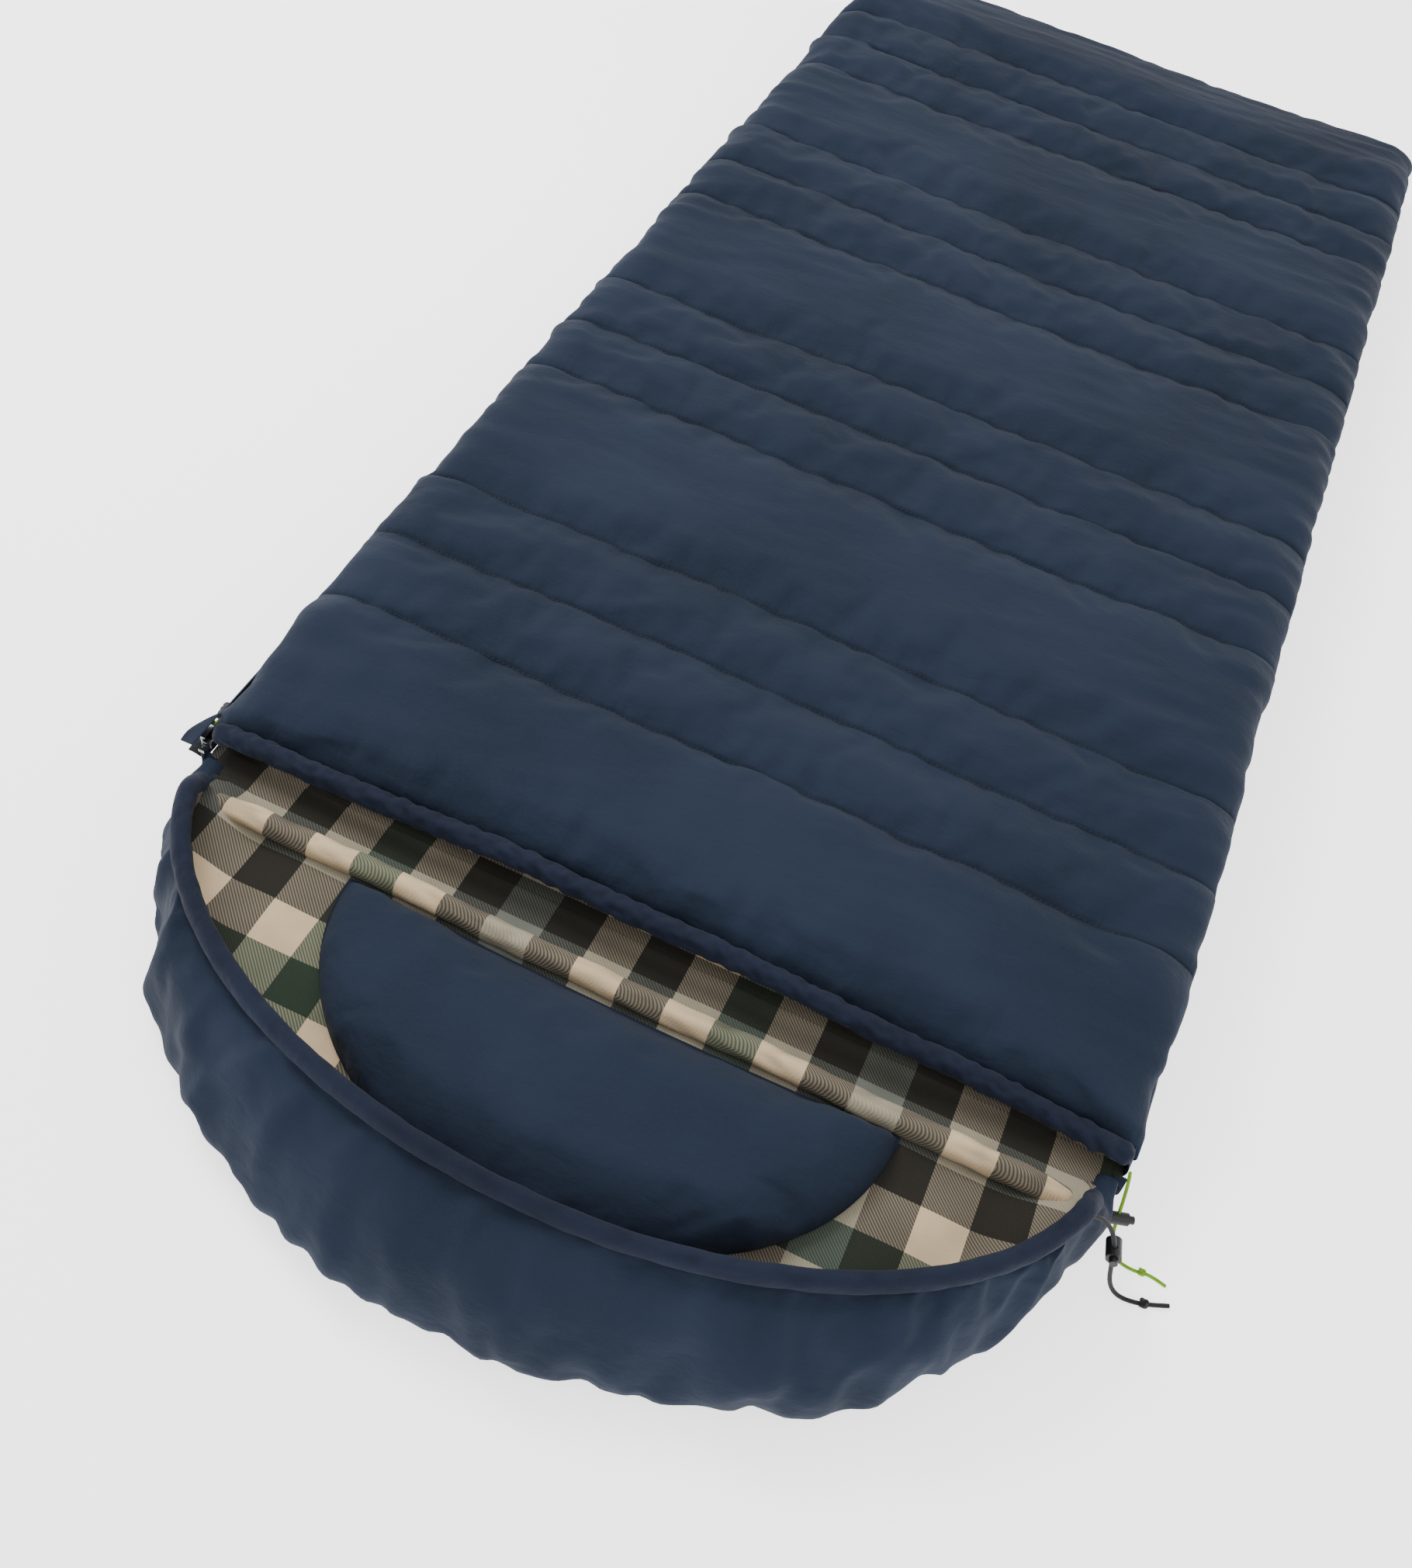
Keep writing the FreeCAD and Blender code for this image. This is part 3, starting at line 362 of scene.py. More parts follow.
def surface(across, along, where, flat, closed=False):
    """A cloth grid laid by a rule from its own two shares, with its flat size as its UV map."""
    bm = bmesh.new()
    bmesh.ops.create_grid(bm, x_segments=across, y_segments=along, size=0.5, calc_uvs=True)
    layer = bm.loops.layers.uv.verify()
    for face in bm.faces:
        for corner in face.loops:
            spot = corner.vert.co
            corner[layer].uv = ((spot.x + 0.5) * flat[0], (spot.y + 0.5) * flat[1])
    # crease layer: how much painted shade each point gets, in creases and along seams
    crease_shade = bm.verts.layers.float.new("crease_shade")
    gather = bm.verts.layers.float.new("gather")
    pins = bm.verts.layers.float.new("sewn")
    for vert in bm.verts:
        i = round((vert.co.x + 0.5) * across)
        j = round((vert.co.y + 0.5) * along)
        # fold is the amount of painted shade at this point
        spot, fold, pull, held = where(i, j)
        vert.co = spot
        vert[crease_shade] = fold
        vert[gather] = pull
        vert[pins] = held
    if closed:
        bmesh.ops.remove_doubles(bm, verts=bm.verts, dist=1e-5)
    return bm


def lay_plaid(bm, height=0.0):
    """Run the check straight along the bag, whatever the piece's own grid does."""
    layer = bm.loops.layers.uv.verify()
    for face in bm.faces:
        for corner in face.loops:
            spot = corner.vert.co
            corner[layer].uv = (spot.x + 0.02, spot.y - height * spot.z + 0.9)


def face_up(bm, up=True):
    """Turn an open sheet's faces to look up, or down."""
    bm.normal_update()
    total = sum(face.normal.z * face.calc_area() for face in bm.faces)
    if (total > 0) != up:
        bmesh.ops.reverse_faces(bm, faces=bm.faces)


def puff(pieces, frames=18):
    """Blow the padded pieces up with a cloth simulation, held at their seams."""
    scene = bpy.context.scene
    starts = {}
    for piece, pressure, growth, _ in pieces:
        mesh = piece.data
        held = [i for i, item in enumerate(mesh.attributes["sewn"].data) if item.value > 0.5]
        group = piece.vertex_groups.new(name="sewn_down")
        group.add(held, 1.0, "REPLACE")
        cloth = piece.modifiers.new("padding", "CLOTH")
        settings = cloth.settings
        settings.quality = 4
        settings.mass = 0.3
        settings.tension_stiffness = 12
        settings.compression_stiffness = 12
        settings.shear_stiffness = 5
        settings.bending_stiffness = 0.25
        settings.air_damping = 4
        settings.use_pressure = True
        settings.uniform_pressure_force = pressure
        settings.shrink_min = -growth
        settings.vertex_group_mass = group.name
        settings.effector_weights.gravity = 0
        cloth.collision_settings.use_collision = False
        cloth.point_cache.frame_start = 1
        cloth.point_cache.frame_end = frames + 1
        starts[piece] = [vert.co.copy() for vert in mesh.vertices]
    for step in range(1, frames + 1):
        scene.frame_set(step)
    graph = bpy.context.evaluated_depsgraph_get()
    for piece, _, _, cap in pieces:
        result = piece.evaluated_get(graph).data
        moved = [vert.co.copy() for vert in result.vertices]
        piece.modifiers.remove(piece.modifiers["padding"])
        piece.vertex_groups.clear()
        for vert, start, end in zip(piece.data.vertices, starts[piece], moved):
            step = end - start
            if step.length > cap:
                step *= cap / step.length
            vert.co = start + step
            vert.co.z = max(vert.co.z, min(start.z, 0.0008))
        piece.data.update()
    scene.frame_set(1)


def wrinkle(piece, rule):
    """Press the finer folds into a padded piece, along its own normals."""
    mesh = piece.data
    normals = [vert.normal.copy() for vert in mesh.vertices]
    for vert, normal in zip(mesh.vertices, normals):
        vert.co = vert.co + normal * rule(vert.co)
        vert.co.x = min(vert.co.x, FOLD_LIMIT)
        vert.co.z = max(vert.co.z, 0.0006)
    mesh.update()


def quilt_wrinkles(spot):
    """Fine folds that run in from the sides, and short gathers along the seams."""
    x, y, z = spot
    if z < 0.066:
        return 0.0
    side = math.exp(-(0.44 - abs(x)) / 0.13)
    mouth = math.exp(-(y + 0.738) / 0.05)
    near = math.exp(-nearest_seam(y) / 0.018)
    long_fold = ridge(x * 6 + 2.2 * math.copysign(y * 6, x), y * 34, 12.5) - 0.4
    short_fold = ridge(x * 42, y * 12, 15.1) - 0.4
    return ((0.0010 + 0.0042 * side) * long_fold + 0.0026 * near * short_fold
            + 0.0045 * mouth * (ridge(x * 30, y * 9, 17.7) - 0.4))


def brim_wrinkles(spot):
    """Soft upright folds round the hood's wall, closer together near its rim."""
    x, y, z = spot
    angle = math.atan2(-0.757 - y, x)
    run = angle * 0.40
    outer = math.hypot(x / 0.418, (y + 0.757) / 0.30) - 0.86
    share = smooth_step(outer / 0.12) * smooth_step((math.sin(angle) + 0.02) / 0.15)
    broad = ridge(run * 11, z * 7, 21.3) - 0.45
    middle = ridge(run * 26 + z * 9, z * 9, 23.9) - 0.45
    fine = ridge(run * 52, z * 12, 27.2) - 0.45
    low = smooth_step((0.06 - z) / 0.05)
    return share * (0.006 * broad + 0.0065 * middle + 0.0032 * fine
                    + 0.004 * low * (ridge(run * 36, 0.5, 29.1) - 0.45))


def pillow_wrinkles(spot):
    """A few creases that run in from the pillow's seam."""
    x, y, z = spot
    if z < 0.062:
        return 0.0
    edge = math.exp(-(0.255 - abs(x)) / 0.07) + math.exp(-(-0.822 - y) / 0.03)
    return ((0.0010 + 0.0022 * min(edge, 1)) * (ridge(x * 22 + y * 8, y * 14, 31.5) - 0.4)
            + 0.0018 * wave(x * 9, y * 11, 33.0))


def refine(piece):
    smooth = piece.modifiers.new("smooth", "SUBSURF")
    smooth.levels = smooth.render_levels = 1
    return piece


def thicken(piece, thickness):
    wall = piece.modifiers.new("wall", "SOLIDIFY")
    wall.thickness = thickness
    wall.offset = -1


def wave(x, y, seed):
    return noise.noise(Vector((x, y, seed)))


def ridge(x, y, seed):
    """Soft folds: sharp crests and broad valleys, from 0 to 1."""
    return (1 - abs(noise.noise(Vector((x, y, seed))))) ** 3


# ---------------------------------------------------------------- quilts

# Places of the cross seams, and the spacing of the cloth grid between and beside them.
SEAMS = [-0.5636, -0.4655, -0.3674, -0.1472, -0.0491, 0.0490,
         0.2692, 0.3673, 0.4654, 0.6856, 0.7837, 0.8818]
CELL = 0.0092
BESIDE = 0.0032
NARROW_PANEL = 0.13
SEAM_FADE = 0.03
# The padding stays this side of the line that the upper quilt folds about.
FOLD_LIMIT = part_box("upper_shell")[1].x - 0.0004
# Steps round a quilt's rolled side, in degrees from its middle height.
ROLL_ANGLES = [-62, -34, -8, 14, 34, 52, 68, 81]


def seam_wave(x, seam):
    return 0.0045 * wave(x * 3.1, seam * 7, 4.2) + 0.0018 * wave(x * 14, seam * 5, 9.1)


def quilt_rows(start, end, edges):
    """Row positions from end to end that fall on every seam, with closer rows beside them."""
    marks = [start] + [seam + step for seam in SEAMS if start < seam < end
                       for step in (-BESIDE, 0, BESIDE)] + [end]
    rows = []
    for low, high in zip(marks, marks[1:]):
        count = max(1, round((high - low) / edges))
        rows += [low + (high - low) * k / count for k in range(count)]
    return rows + [end]


def panel_share(y, start, end):
    """How far a point is from the middle of its sewn panel (0) to its seam (1), and the width."""
    marks = [start] + SEAMS + [end]
    for low, high in zip(marks, marks[1:]):
        if low <= y <= high:
            return abs(2 * (y - low) / (high - low) - 1), high - low
    return 1.0, 0.1


def nearest_seam(y):
    return min(abs(y - seam) for seam in SEAMS)


class Quilt:
    """One quilt's outline and the rules for its height."""

    def __init__(self, west, east, head, tail, corner, roll, head_roll, cell=CELL):
        self.west, self.east, self.head, self.tail = west, east, head, tail
        self.corner, self.roll, self.head_roll = corner, roll, head_roll
        self.steps = len(ROLL_ANGLES)
        inner = max(4, round((east - west - 2 * roll) / cell))
        self.across = inner + 2 * self.steps
        self.rows = quilt_rows(head + head_roll, tail - roll, cell)
        self.along = len(self.rows) - 1 + 2 * self.steps

    def edge(self, index, last, low, high, roll_low, roll_high, middle):
        """Position and lift, from -1 to 1, for one index across or along the quilt."""
        if index < self.steps:
            angle = math.radians(ROLL_ANGLES[index])
            return low + roll_low * (1 - math.cos(angle)), math.sin(angle)
        if last - index < self.steps:
            angle = math.radians(ROLL_ANGLES[last - index])
            return high - roll_high * (1 - math.cos(angle)), math.sin(angle)
        return middle(index - self.steps), 1.0

    def spot(self, i, j):
        width = self.across - 2 * self.steps
        x, lift_x = self.edge(i, self.across, self.west, self.east, self.roll, self.roll,
                              lambda k: self.west + self.roll + (self.east - self.west
                                                                 - 2 * self.roll) * k / width)
        y, lift_y = self.edge(j, self.along, self.head, self.tail, self.head_roll, self.roll,
                              lambda k: self.rows[k])
        lift = lift_x * lift_y if min(lift_x, lift_y) >= 0 else min(lift_x, lift_y)
        on_seam = self.steps <= j <= self.along - self.steps and nearest_seam(y) < 1e-6
        border = i <= 1 or i >= self.across - 1 or j <= 1 or j >= self.along - 1
        return x, y, lift, on_seam, border

    def rounded(self, x, y):
        """Draw the plan's foot corners in to their radius."""
        centre_y = self.tail - self.corner
        for side in (-1, 1):
            edge = self.east if side > 0 else -self.west
            centre_x = edge - self.corner
            over_x, over_y = side * x - centre_x, y - centre_y
            if over_x > 0 and over_y > 0:
                share = max(over_x, over_y) / math.hypot(over_x, over_y)
                return side * (centre_x + over_x * share), centre_y + over_y * share
        return x, y


def smooth_step(value):
    value = min(1.0, max(0.0, value))
    return value * value * (3 - 2 * value)


upper_low, upper_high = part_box("upper_shell")
rim_low, rim_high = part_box("opening_rim")
lower_low, lower_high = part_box("lower_shell")
SIDE = upper_high.x
FOOT = upper_high.y
OPENING = lower_low.y
RIM_RADIUS = 0.0125
RIM_ENDS = rim_low.z + RIM_RADIUS
RIM_CROWN = rim_high.z - RIM_RADIUS
CROWN = upper_high.z


def rim_height(x):
    return RIM_CROWN - (RIM_CROWN - RIM_ENDS) * min(1.0, (x / (SIDE - 0.005)) ** 2)


def upper_top(x, y):
    """Crest height of the upper quilt."""
    level = CROWN + 0.002
    level -= 0.019 * smooth_step((y - (FOOT - 0.17)) / 0.15)
    mouth = 1 - smooth_step((y - OPENING - 0.02) / 0.16)
    level -= mouth * (CROWN + 0.002 - rim_height(x) - 0.014)
    return level


def make_upper_quilt():
    quilt = Quilt(-SIDE, SIDE, OPENING + 0.019, FOOT, 0.04, 0.05, 0.02)
    middle = upper_low.z - 0.002 + 0.016

    def where(i, j):
        x, y, lift, on_seam, border = quilt.spot(i, j)
        share, width = panel_share(y, quilt.head, quilt.tail)
        valley = share ** (2.4 if width < NARROW_PANEL else 5.0)
        mouth = math.exp(-max(0.0, y - quilt.head) / 0.045)
        side = math.exp(-(SIDE - abs(x)) / 0.10)
        mid = middle + (rim_height(x) - 0.012 - middle) * (
            1 - smooth_step((y - quilt.head) / 0.12))
        top = upper_top(x, y)
        top -= 0.0075 * valley
        top += 0.0035 * wave(x * 3.2, y * 4.1, 1.3)
        top += (0.0018 + 0.0054 * side) * (ridge(x * 5 + y * 2.5, y * 27 - x * 5, 2.2) - 0.55)
        top += 0.0032 * mouth * (ridge(x * 26 + 4 * y, y * 7, 7.7) - 0.55)
        near = math.exp(-nearest_seam(y) / 0.014)
        top += 0.0022 * near * (ridge(x * 30, y * 9, 3.1) - 0.5) * (0 if on_seam else 1)
        bulge = -0.0045 * valley + 0.0035 * wave(y * 16, 0.3 * x, 6.4)
        grip = 1 - abs(lift) ** 2 * 0.5
        x2, y2 = quilt.rounded(x, y)
        if abs(x) > SIDE - quilt.roll:
            x2 += math.copysign(bulge, x) * grip
        if y > FOOT - quilt.roll:
            y2 += 0.004 * wave(x * 13, 1.1, 8.8) * grip
        fade = smooth_step((SIDE - abs(x)) / SEAM_FADE)
        y2 += seam_wave(x, round(y, 2)) * fade * math.exp(-nearest_seam(y) / 0.05)
        z = mid + (top - mid) * lift if lift >= 0 else mid + 0.016 * lift
        if on_seam:
            z -= 0.0028 * max(lift, 0)
        # painted shade on the seams and fading out beside them
        crease_shade = 0.62 if on_seam else 0.06 * near
        return (Vector((x2, y2, z)), crease_shade, min(1.0, near + 0.8 * mouth),
                1.0 if on_seam or border else 0.0)

    bm = surface(quilt.across, quilt.along, where, (2 * SIDE, FOOT - OPENING))
    face_up(bm)
    piece = finish_piece("upper_quilt_padding", bm, SHELL, "upper_quilt",
                         ("upper_shell", "upper_fill"))
    return piece


def make_lower_quilt():
    """The outer fabric and filling under the sleeper: flat below, rolled up at its sides."""
    quilt = Quilt(-SIDE + 0.001, SIDE - 0.001, OPENING + 0.0005, FOOT - 0.001, 0.04, 0.034,
                  0.012, cell=0.015)
    middle, top = 0.027, lower_high.z

    def where(i, j):
        x, y, lift = quilt.spot(i, j)[:3]
        share, width = panel_share(y, quilt.head, quilt.tail)
        valley = share ** (2.4 if width < NARROW_PANEL else 5.0)
        bottom = 0.0006 + 0.004 * valley
        bulge = -0.006 * valley + 0.003 * wave(y * 17, 0.3 * x, 2.4)
        grip = 1 - abs(lift) ** 2 * 0.5
        x2, y2 = quilt.rounded(x, y)
        if abs(x) > SIDE - quilt.roll - 0.001:
            x2 += math.copysign(bulge, x) * grip
        if y > FOOT - quilt.roll - 0.001:
            y2 += 0.004 * wave(x * 13, 1.1, 3.8) * grip
        z = middle - (middle - bottom) * lift if lift >= 0 else middle - (top - middle) * lift
        z += 0.0012 * wave(x * 9, y * 21, 5.0) * (1 - abs(lift))
        near = math.exp(-nearest_seam(y) / 0.014)
        # the second value is painted shade along the seams
        return Vector((min(x2, FOLD_LIMIT), y2, max(z, 0.0004))), 0.3 * math.exp(
            -nearest_seam(y) / 0.004), near, 0.0

    bm = surface(quilt.across, quilt.along, where, (2 * SIDE, FOOT - OPENING))
    face_up(bm, False)
    piece = finish_piece("lower_quilt_padding", bm, SHELL, "lower_quilt",
                         ("lower_shell", "lower_fill"))
    return refine(piece)


def make_lining(name, body, node, level, puff_height, up, head):
    """A quilt's quilted flannel lining."""
    rows = quilt_rows(head, FOOT - 0.006, 0.012)
    across = 70

    def where(i, j):
        x = (SIDE - 0.005) * (2 * i / across - 1)
        y = rows[j]
        share, width = panel_share(y, head, FOOT)
        full = 1 - share ** (2.2 if width < NARROW_PANEL else 4.0)
        edge = smooth_step((SIDE - abs(x)) / 0.03) * smooth_step((FOOT - y) / 0.03)
        edge *= smooth_step((y - head - 0.016) / 0.03)
        rise = puff_height * (full * edge + 0.25 * wave(x * 16, y * 18, level * 90) * edge)
        z = level + (rise if up else -rise)
        if not up:
            z += (rim_height(x) - 0.0125 - level) * (1 - smooth_step((y - head) / 0.15))
        corner = FOOT - 0.046
        if y > corner and abs(x) > SIDE - 0.045:
            over_x, over_y = abs(x) - (SIDE - 0.045), y - corner
            share = max(over_x, over_y) / math.hypot(over_x, over_y)
            x = math.copysign(SIDE - 0.045 + over_x * share, x)
            y = corner + over_y * share
        near = math.exp(-nearest_seam(y) / 0.01)
        # the second value is painted shade along the seams
        return Vector((x, y, z)), 0.35 * math.exp(-nearest_seam(y) / 0.006), near, 0.0

    bm = surface(across, len(rows) - 1, where, (2 * SIDE, FOOT - head))
    lay_plaid(bm)
    face_up(bm, up)
    piece = finish_piece(name, bm, PLAID, body, (node,))
    thicken(piece, LINING_WALL)
    refine(piece)
    return piece


def make_fold():
    """The folded side's fabric between the two quilts, laid in one fixed shape that rides on no
    body.
    """
    low, high = 0.043, 0.068
    along = 230

    def where(i, j):
        share = i / 8
        y = OPENING + 0.006 + (FOOT - OPENING - 0.05) * j / along
        panel = panel_share(y, OPENING, FOOT)[0]
        out = math.sin(math.pi * share) * (0.0035 + 0.0015 * wave(y * 30, share, 7.0))
        x = SIDE - 0.0045 + out - 0.004 * panel ** 3
        return Vector((x, y, low + (high - low) * share)), 0.0, 0.4, 0.0

    bm = surface(8, along, where, (0.028, FOOT - OPENING))
    piece = finish_piece("fold_fabric", bm, SHELL, None,
                         ("fold_strip_lower", "fold_strip_upper"))
    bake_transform(piece)
    return piece


def tube(name, centre, radius, along, around, material, body, replaced, crimp=0.0,
         wavelength=0.012, flat=1.0, plaid=False):
    """A round piece along a line, closed at both ends, with its skin gathered if asked."""
    marks = [centre(j / along) for j in range(along + 1)]
    length = sum((b - a).length for a, b in zip(marks, marks[1:]))

    def where(i, j):
        here = marks[j]
        ahead = marks[min(j + 1, along)] - marks[max(j - 1, 0)]
        ahead.normalize()
        side = ahead.cross(Vector((0, 0, 1))).normalized()
        above = side.cross(ahead)
        angle = math.tau * i / around
        run = length * j / along
        end = min(run, length - run) / radius
        size = radius * (math.sqrt(max(0.0, 1 - (1 - end) ** 2)) if end < 1 else 1.0)
        crumple = noise.noise(Vector((run / wavelength + 0.8 * math.sin(angle),
                                      1.3 * math.cos(angle), 1.3 * math.sin(angle))))
        size *= 1 + crimp * crumple
        spot = here + side * size * math.cos(angle) + above * size * flat * math.sin(angle)
        # the second value is painted shade in the hollows of the gathered skin
        return spot, max(0.0, -crumple) * 0.5 * min(1.0, crimp * 8), 0.5, 0.0

    bm = surface(around, along, where, (math.tau * radius, length), closed=True)
    if plaid:
        lay_plaid(bm, 1.0)
    bmesh.ops.recalc_face_normals(bm, faces=bm.faces)
    return finish_piece(name, bm, material, body, replaced)


def make_opening_rim():
    half, y = SIDE - 0.006, (rim_low.y + rim_high.y) / 2

    def centre(share):
        x = half * (2 * share - 1)
        return Vector((x, y - 0.001 + 0.0045 * wave(x * 6, 0.2, 5.5),
                       rim_height(x) + 0.0026 * wave(x * 9, 1.2, 3.5)))

    piece = tube("opening_rim_tube", centre, 0.0100, 420, 24, TRIM, "upper_quilt",
                 ("opening_rim", "opening_cord_inner"), crimp=0.26,
                 wavelength=0.0095)
    return refine(piece)


# ---------------------------------------------------------------- hood

hood_low, hood_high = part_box("hood_shell")
NECK = hood_high.y
HALF_WIDTH = hood_high.x
DEPTH = NECK - hood_low.y
BASE_TOP = hood_high.z
RIM_WIDTH, RIM_DEPTH, RIM_SETBACK = 0.416, 0.267, 0.078
RIM_LEVEL, RIM_TILT = 0.0949, 0.1051


def oval(angle, half_width, depth):
    return Vector((-half_width * math.cos(angle), NECK - depth * math.sin(angle), 0))


def rim_spot(angle):
    """Centre of the hood's rim tube; past its ends it runs down to the neck corners."""
    spot = oval(angle, RIM_WIDTH, RIM_DEPTH)
    reach = NECK - spot.y
    spot.z = RIM_LEVEL + (reach - RIM_SETBACK) * RIM_TILT
    drop = 1 - smooth_step((reach - 0.012) / (RIM_SETBACK - 0.018))
    spot.z -= drop * (spot.z - BASE_TOP - 0.004)
    return spot


def spline(points, share):
    """A point on a smooth line through the given ones."""
    span = (len(points) - 1) * min(max(share, 0.0), 1.0)
    k = min(int(span), len(points) - 2)
    f = span - k
    before, a = points[max(k - 1, 0)], points[k]
    b, after = points[k + 1], points[min(k + 2, len(points) - 1)]
    return 0.5 * (2 * a + (b - before) * f + (2 * before - 5 * a + 4 * b - after) * f * f
                  + (3 * a - before - 3 * b + after) * f ** 3)


def brim_profile(angle, inner=False):
    """Cross-section of the hood's wall at one angle, from the ground over the top."""
    foot = oval(angle, HALF_WIDTH, DEPTH)
    rim = rim_spot(angle)
    inward = Vector((foot.x / HALF_WIDTH ** 2, (foot.y - NECK) / DEPTH ** 2, 0))
    inward = -inward.normalized() if inward.length > 0 else Vector((0, 1, 0))
    if foot.y > NECK - 0.0005:
        inward = Vector((-math.copysign(1, foot.x), 0, 0))
    top = rim.z
    gap = Vector((rim.x - foot.x, rim.y - foot.y, 0))

    def at(share, extra, level):
        return foot + gap * share + inward * extra + Vector((0, 0, level))

    if inner:
        return [at(1, 0.006, top - 0.006), at(1, 0.004, top - 0.02),
                at(1, -0.004, BASE_TOP + (top - BASE_TOP) * 0.35),
                at(1, 0.002, BASE_TOP + 0.008), at(1, 0.022, BASE_TOP + 0.002)]
    rise = top - 0.05
    return [at(0, 0.030, 0.0012), at(0, 0.012, 0.003), at(0, 0.0015, 0.014),
            at(0, -0.002, 0.032), at(0.08, 0, 0.048 + rise * 0.12),
            at(0.32, 0, 0.05 + rise * 0.52), at(0.64, 0, 0.05 + rise * 0.84),
            at(0.92, 0, 0.05 + rise * 0.96), at(1, 0.004, top - 0.004),
            at(1, 0.005, top - 0.018), at(1, -0.003, BASE_TOP + rise * 0.2),
            at(1, -0.004, BASE_TOP + 0.001)]


def make_brim():
    around, along = 34, 130

    def where(i, j):
        angle = math.pi * (0.004 + 0.992 * j / along)
        points = brim_profile(angle)
        share = i / around
        spot = spline(points, share)
        run = angle * 0.38
        outer = math.sin(math.pi * min(1.0, share / 0.74)) if share < 0.74 else 0.0
        high = smooth_step(math.sin(angle) / 0.3)
        fold = ridge(run * 15, share * 1.6, 4.4) - 0.5
        fine = ridge(run * 34, share * 2.5, 8.4) - 0.5
        swell = outer * (0.008 + 0.009 * fold * high) + 0.004 * outer * fine * high
        normal = Vector((spot.x / HALF_WIDTH ** 2, (spot.y - NECK) / DEPTH ** 2, 3.2 * share))
        if normal.length > 0:
            spot = spot + normal.normalized() * swell
        spot.z = max(spot.z, 0.0008)
        near_rim = math.exp(-abs(share - 0.70) / 0.05)
        spot.z += 0.002 * near_rim * (ridge(run * 60, 0.3, 6.1) - 0.5)
        held = share < 0.06 or share > 0.66 or j < 3 or j > along - 3
        # the second value is painted shade along the brim's rim
        return spot, 0.25 * near_rim, near_rim, 1.0 if held else 0.0

    bm = surface(around, along, where, (0.33, 1.25))
    bmesh.ops.recalc_face_normals(bm, faces=bm.faces)
    piece = finish_piece("hood_brim_padding", bm, SHELL, "hood",
                         ("brim_shell", "brim_fill"))
    return piece


def half_disc(s, t, half_width, depth, setback=0.0):
    """A square grid's two shares, -1 to 1 and 0 to 1, spread over a half oval."""
    return Vector((half_width * s * math.sqrt(1 - t * t / 2),
                   NECK - setback - depth * t * math.sqrt(1 - s * s / 2), 0))


def make_hood_base():
    across, along = 70, 34

    def where(i, j):
        s, t = 2 * i / across - 1, j / along
        spot = half_disc(s, t, HALF_WIDTH - 0.02, DEPTH - 0.02)
        near = min((1 - abs(s)) / 0.10, (1 - t) / 0.10, t / 0.03)
        spot.z = 0.0008 + (BASE_TOP - 0.002) * (1 - math.sin(min(near, 1) * math.pi / 2))
        return spot, 0.0, 0.0, 0.0

    bm = surface(across, along, where, (0.85, 0.34))
    face_up(bm, False)
    piece = finish_piece("hood_base_padding", bm, SHELL, "hood",
                         ("hood_shell", "hood_fill"))
    return refine(piece)


def make_hood_lining():
    across, along = 84, 44

    def where(i, j):
        s, t = 2 * i / across - 1, j / along
        spot = half_disc(s, t, 0.412, 0.30)
        rim = min(1 - abs(s), 1 - t)
        spot.z = (BASE_TOP + 0.0008
                  + 0.0045 * smooth_step(rim / 0.3) * smooth_step((t - 0.09) / 0.1))
        spot.z += 0.004 * smooth_step((t - 0.08) / 0.1) * wave(spot.x * 14, spot.y * 15, 2.0)
        spot.z += 0.02 * (1 - smooth_step(rim / 0.16)) * smooth_step(t / 0.25)
        return spot, 0.0, 0.0, 0.0

    bm = surface(across, along, where, (0.824, 0.30))
    lay_plaid(bm)
    face_up(bm)
    piece = finish_piece("hood_lining_cloth", bm, PLAID, "hood", ("hood_lining",))
    thicken(piece, LINING_WALL)
    refine(piece)
    return piece


def make_brim_lining():
    around, along = 14, 130

    def where(i, j):
        angle = math.pi * (0.02 + 0.96 * j / along)
        share = i / around
        spot = spline(brim_profile(angle, True), share)
        spot.z += 0.002 * wave(angle * 16, share * 3, 1.7)
        # the second value is painted shade, darkest near the rim at the top of the inner wall
        return spot, 0.25 * (1 - share) ** 2, 0.4 * (1 - share), 0.0

    bm = surface(around, along, where, (0.07, 1.12))
    lay_plaid(bm, 1.0)
    bmesh.ops.recalc_face_normals(bm, faces=bm.faces)
    if sum(face.normal.z * face.calc_area() for face in bm.faces) < 0:
        bmesh.ops.reverse_faces(bm, faces=bm.faces)
    piece = finish_piece("brim_lining_cloth", bm, PLAID, "hood", ("brim_lining",))
    thicken(piece, LINING_WALL)
    refine(piece)
    return piece


def make_hood_rim():
    start = 0.13

    def centre(share):
        angle = start + (math.pi - 2 * start) * share
        spot = rim_spot(angle)
        spot.z += 0.003 + 0.0014 * wave(share * 22, 0.4, 2.5)
        return spot

    piece = tube("hood_rim_tube", centre, 0.0085, 420, 22, TRIM, "hood",
                 ("hood_rim", "hood_cord_inner"), crimp=0.10,
                 wavelength=0.016)
    return refine(piece)


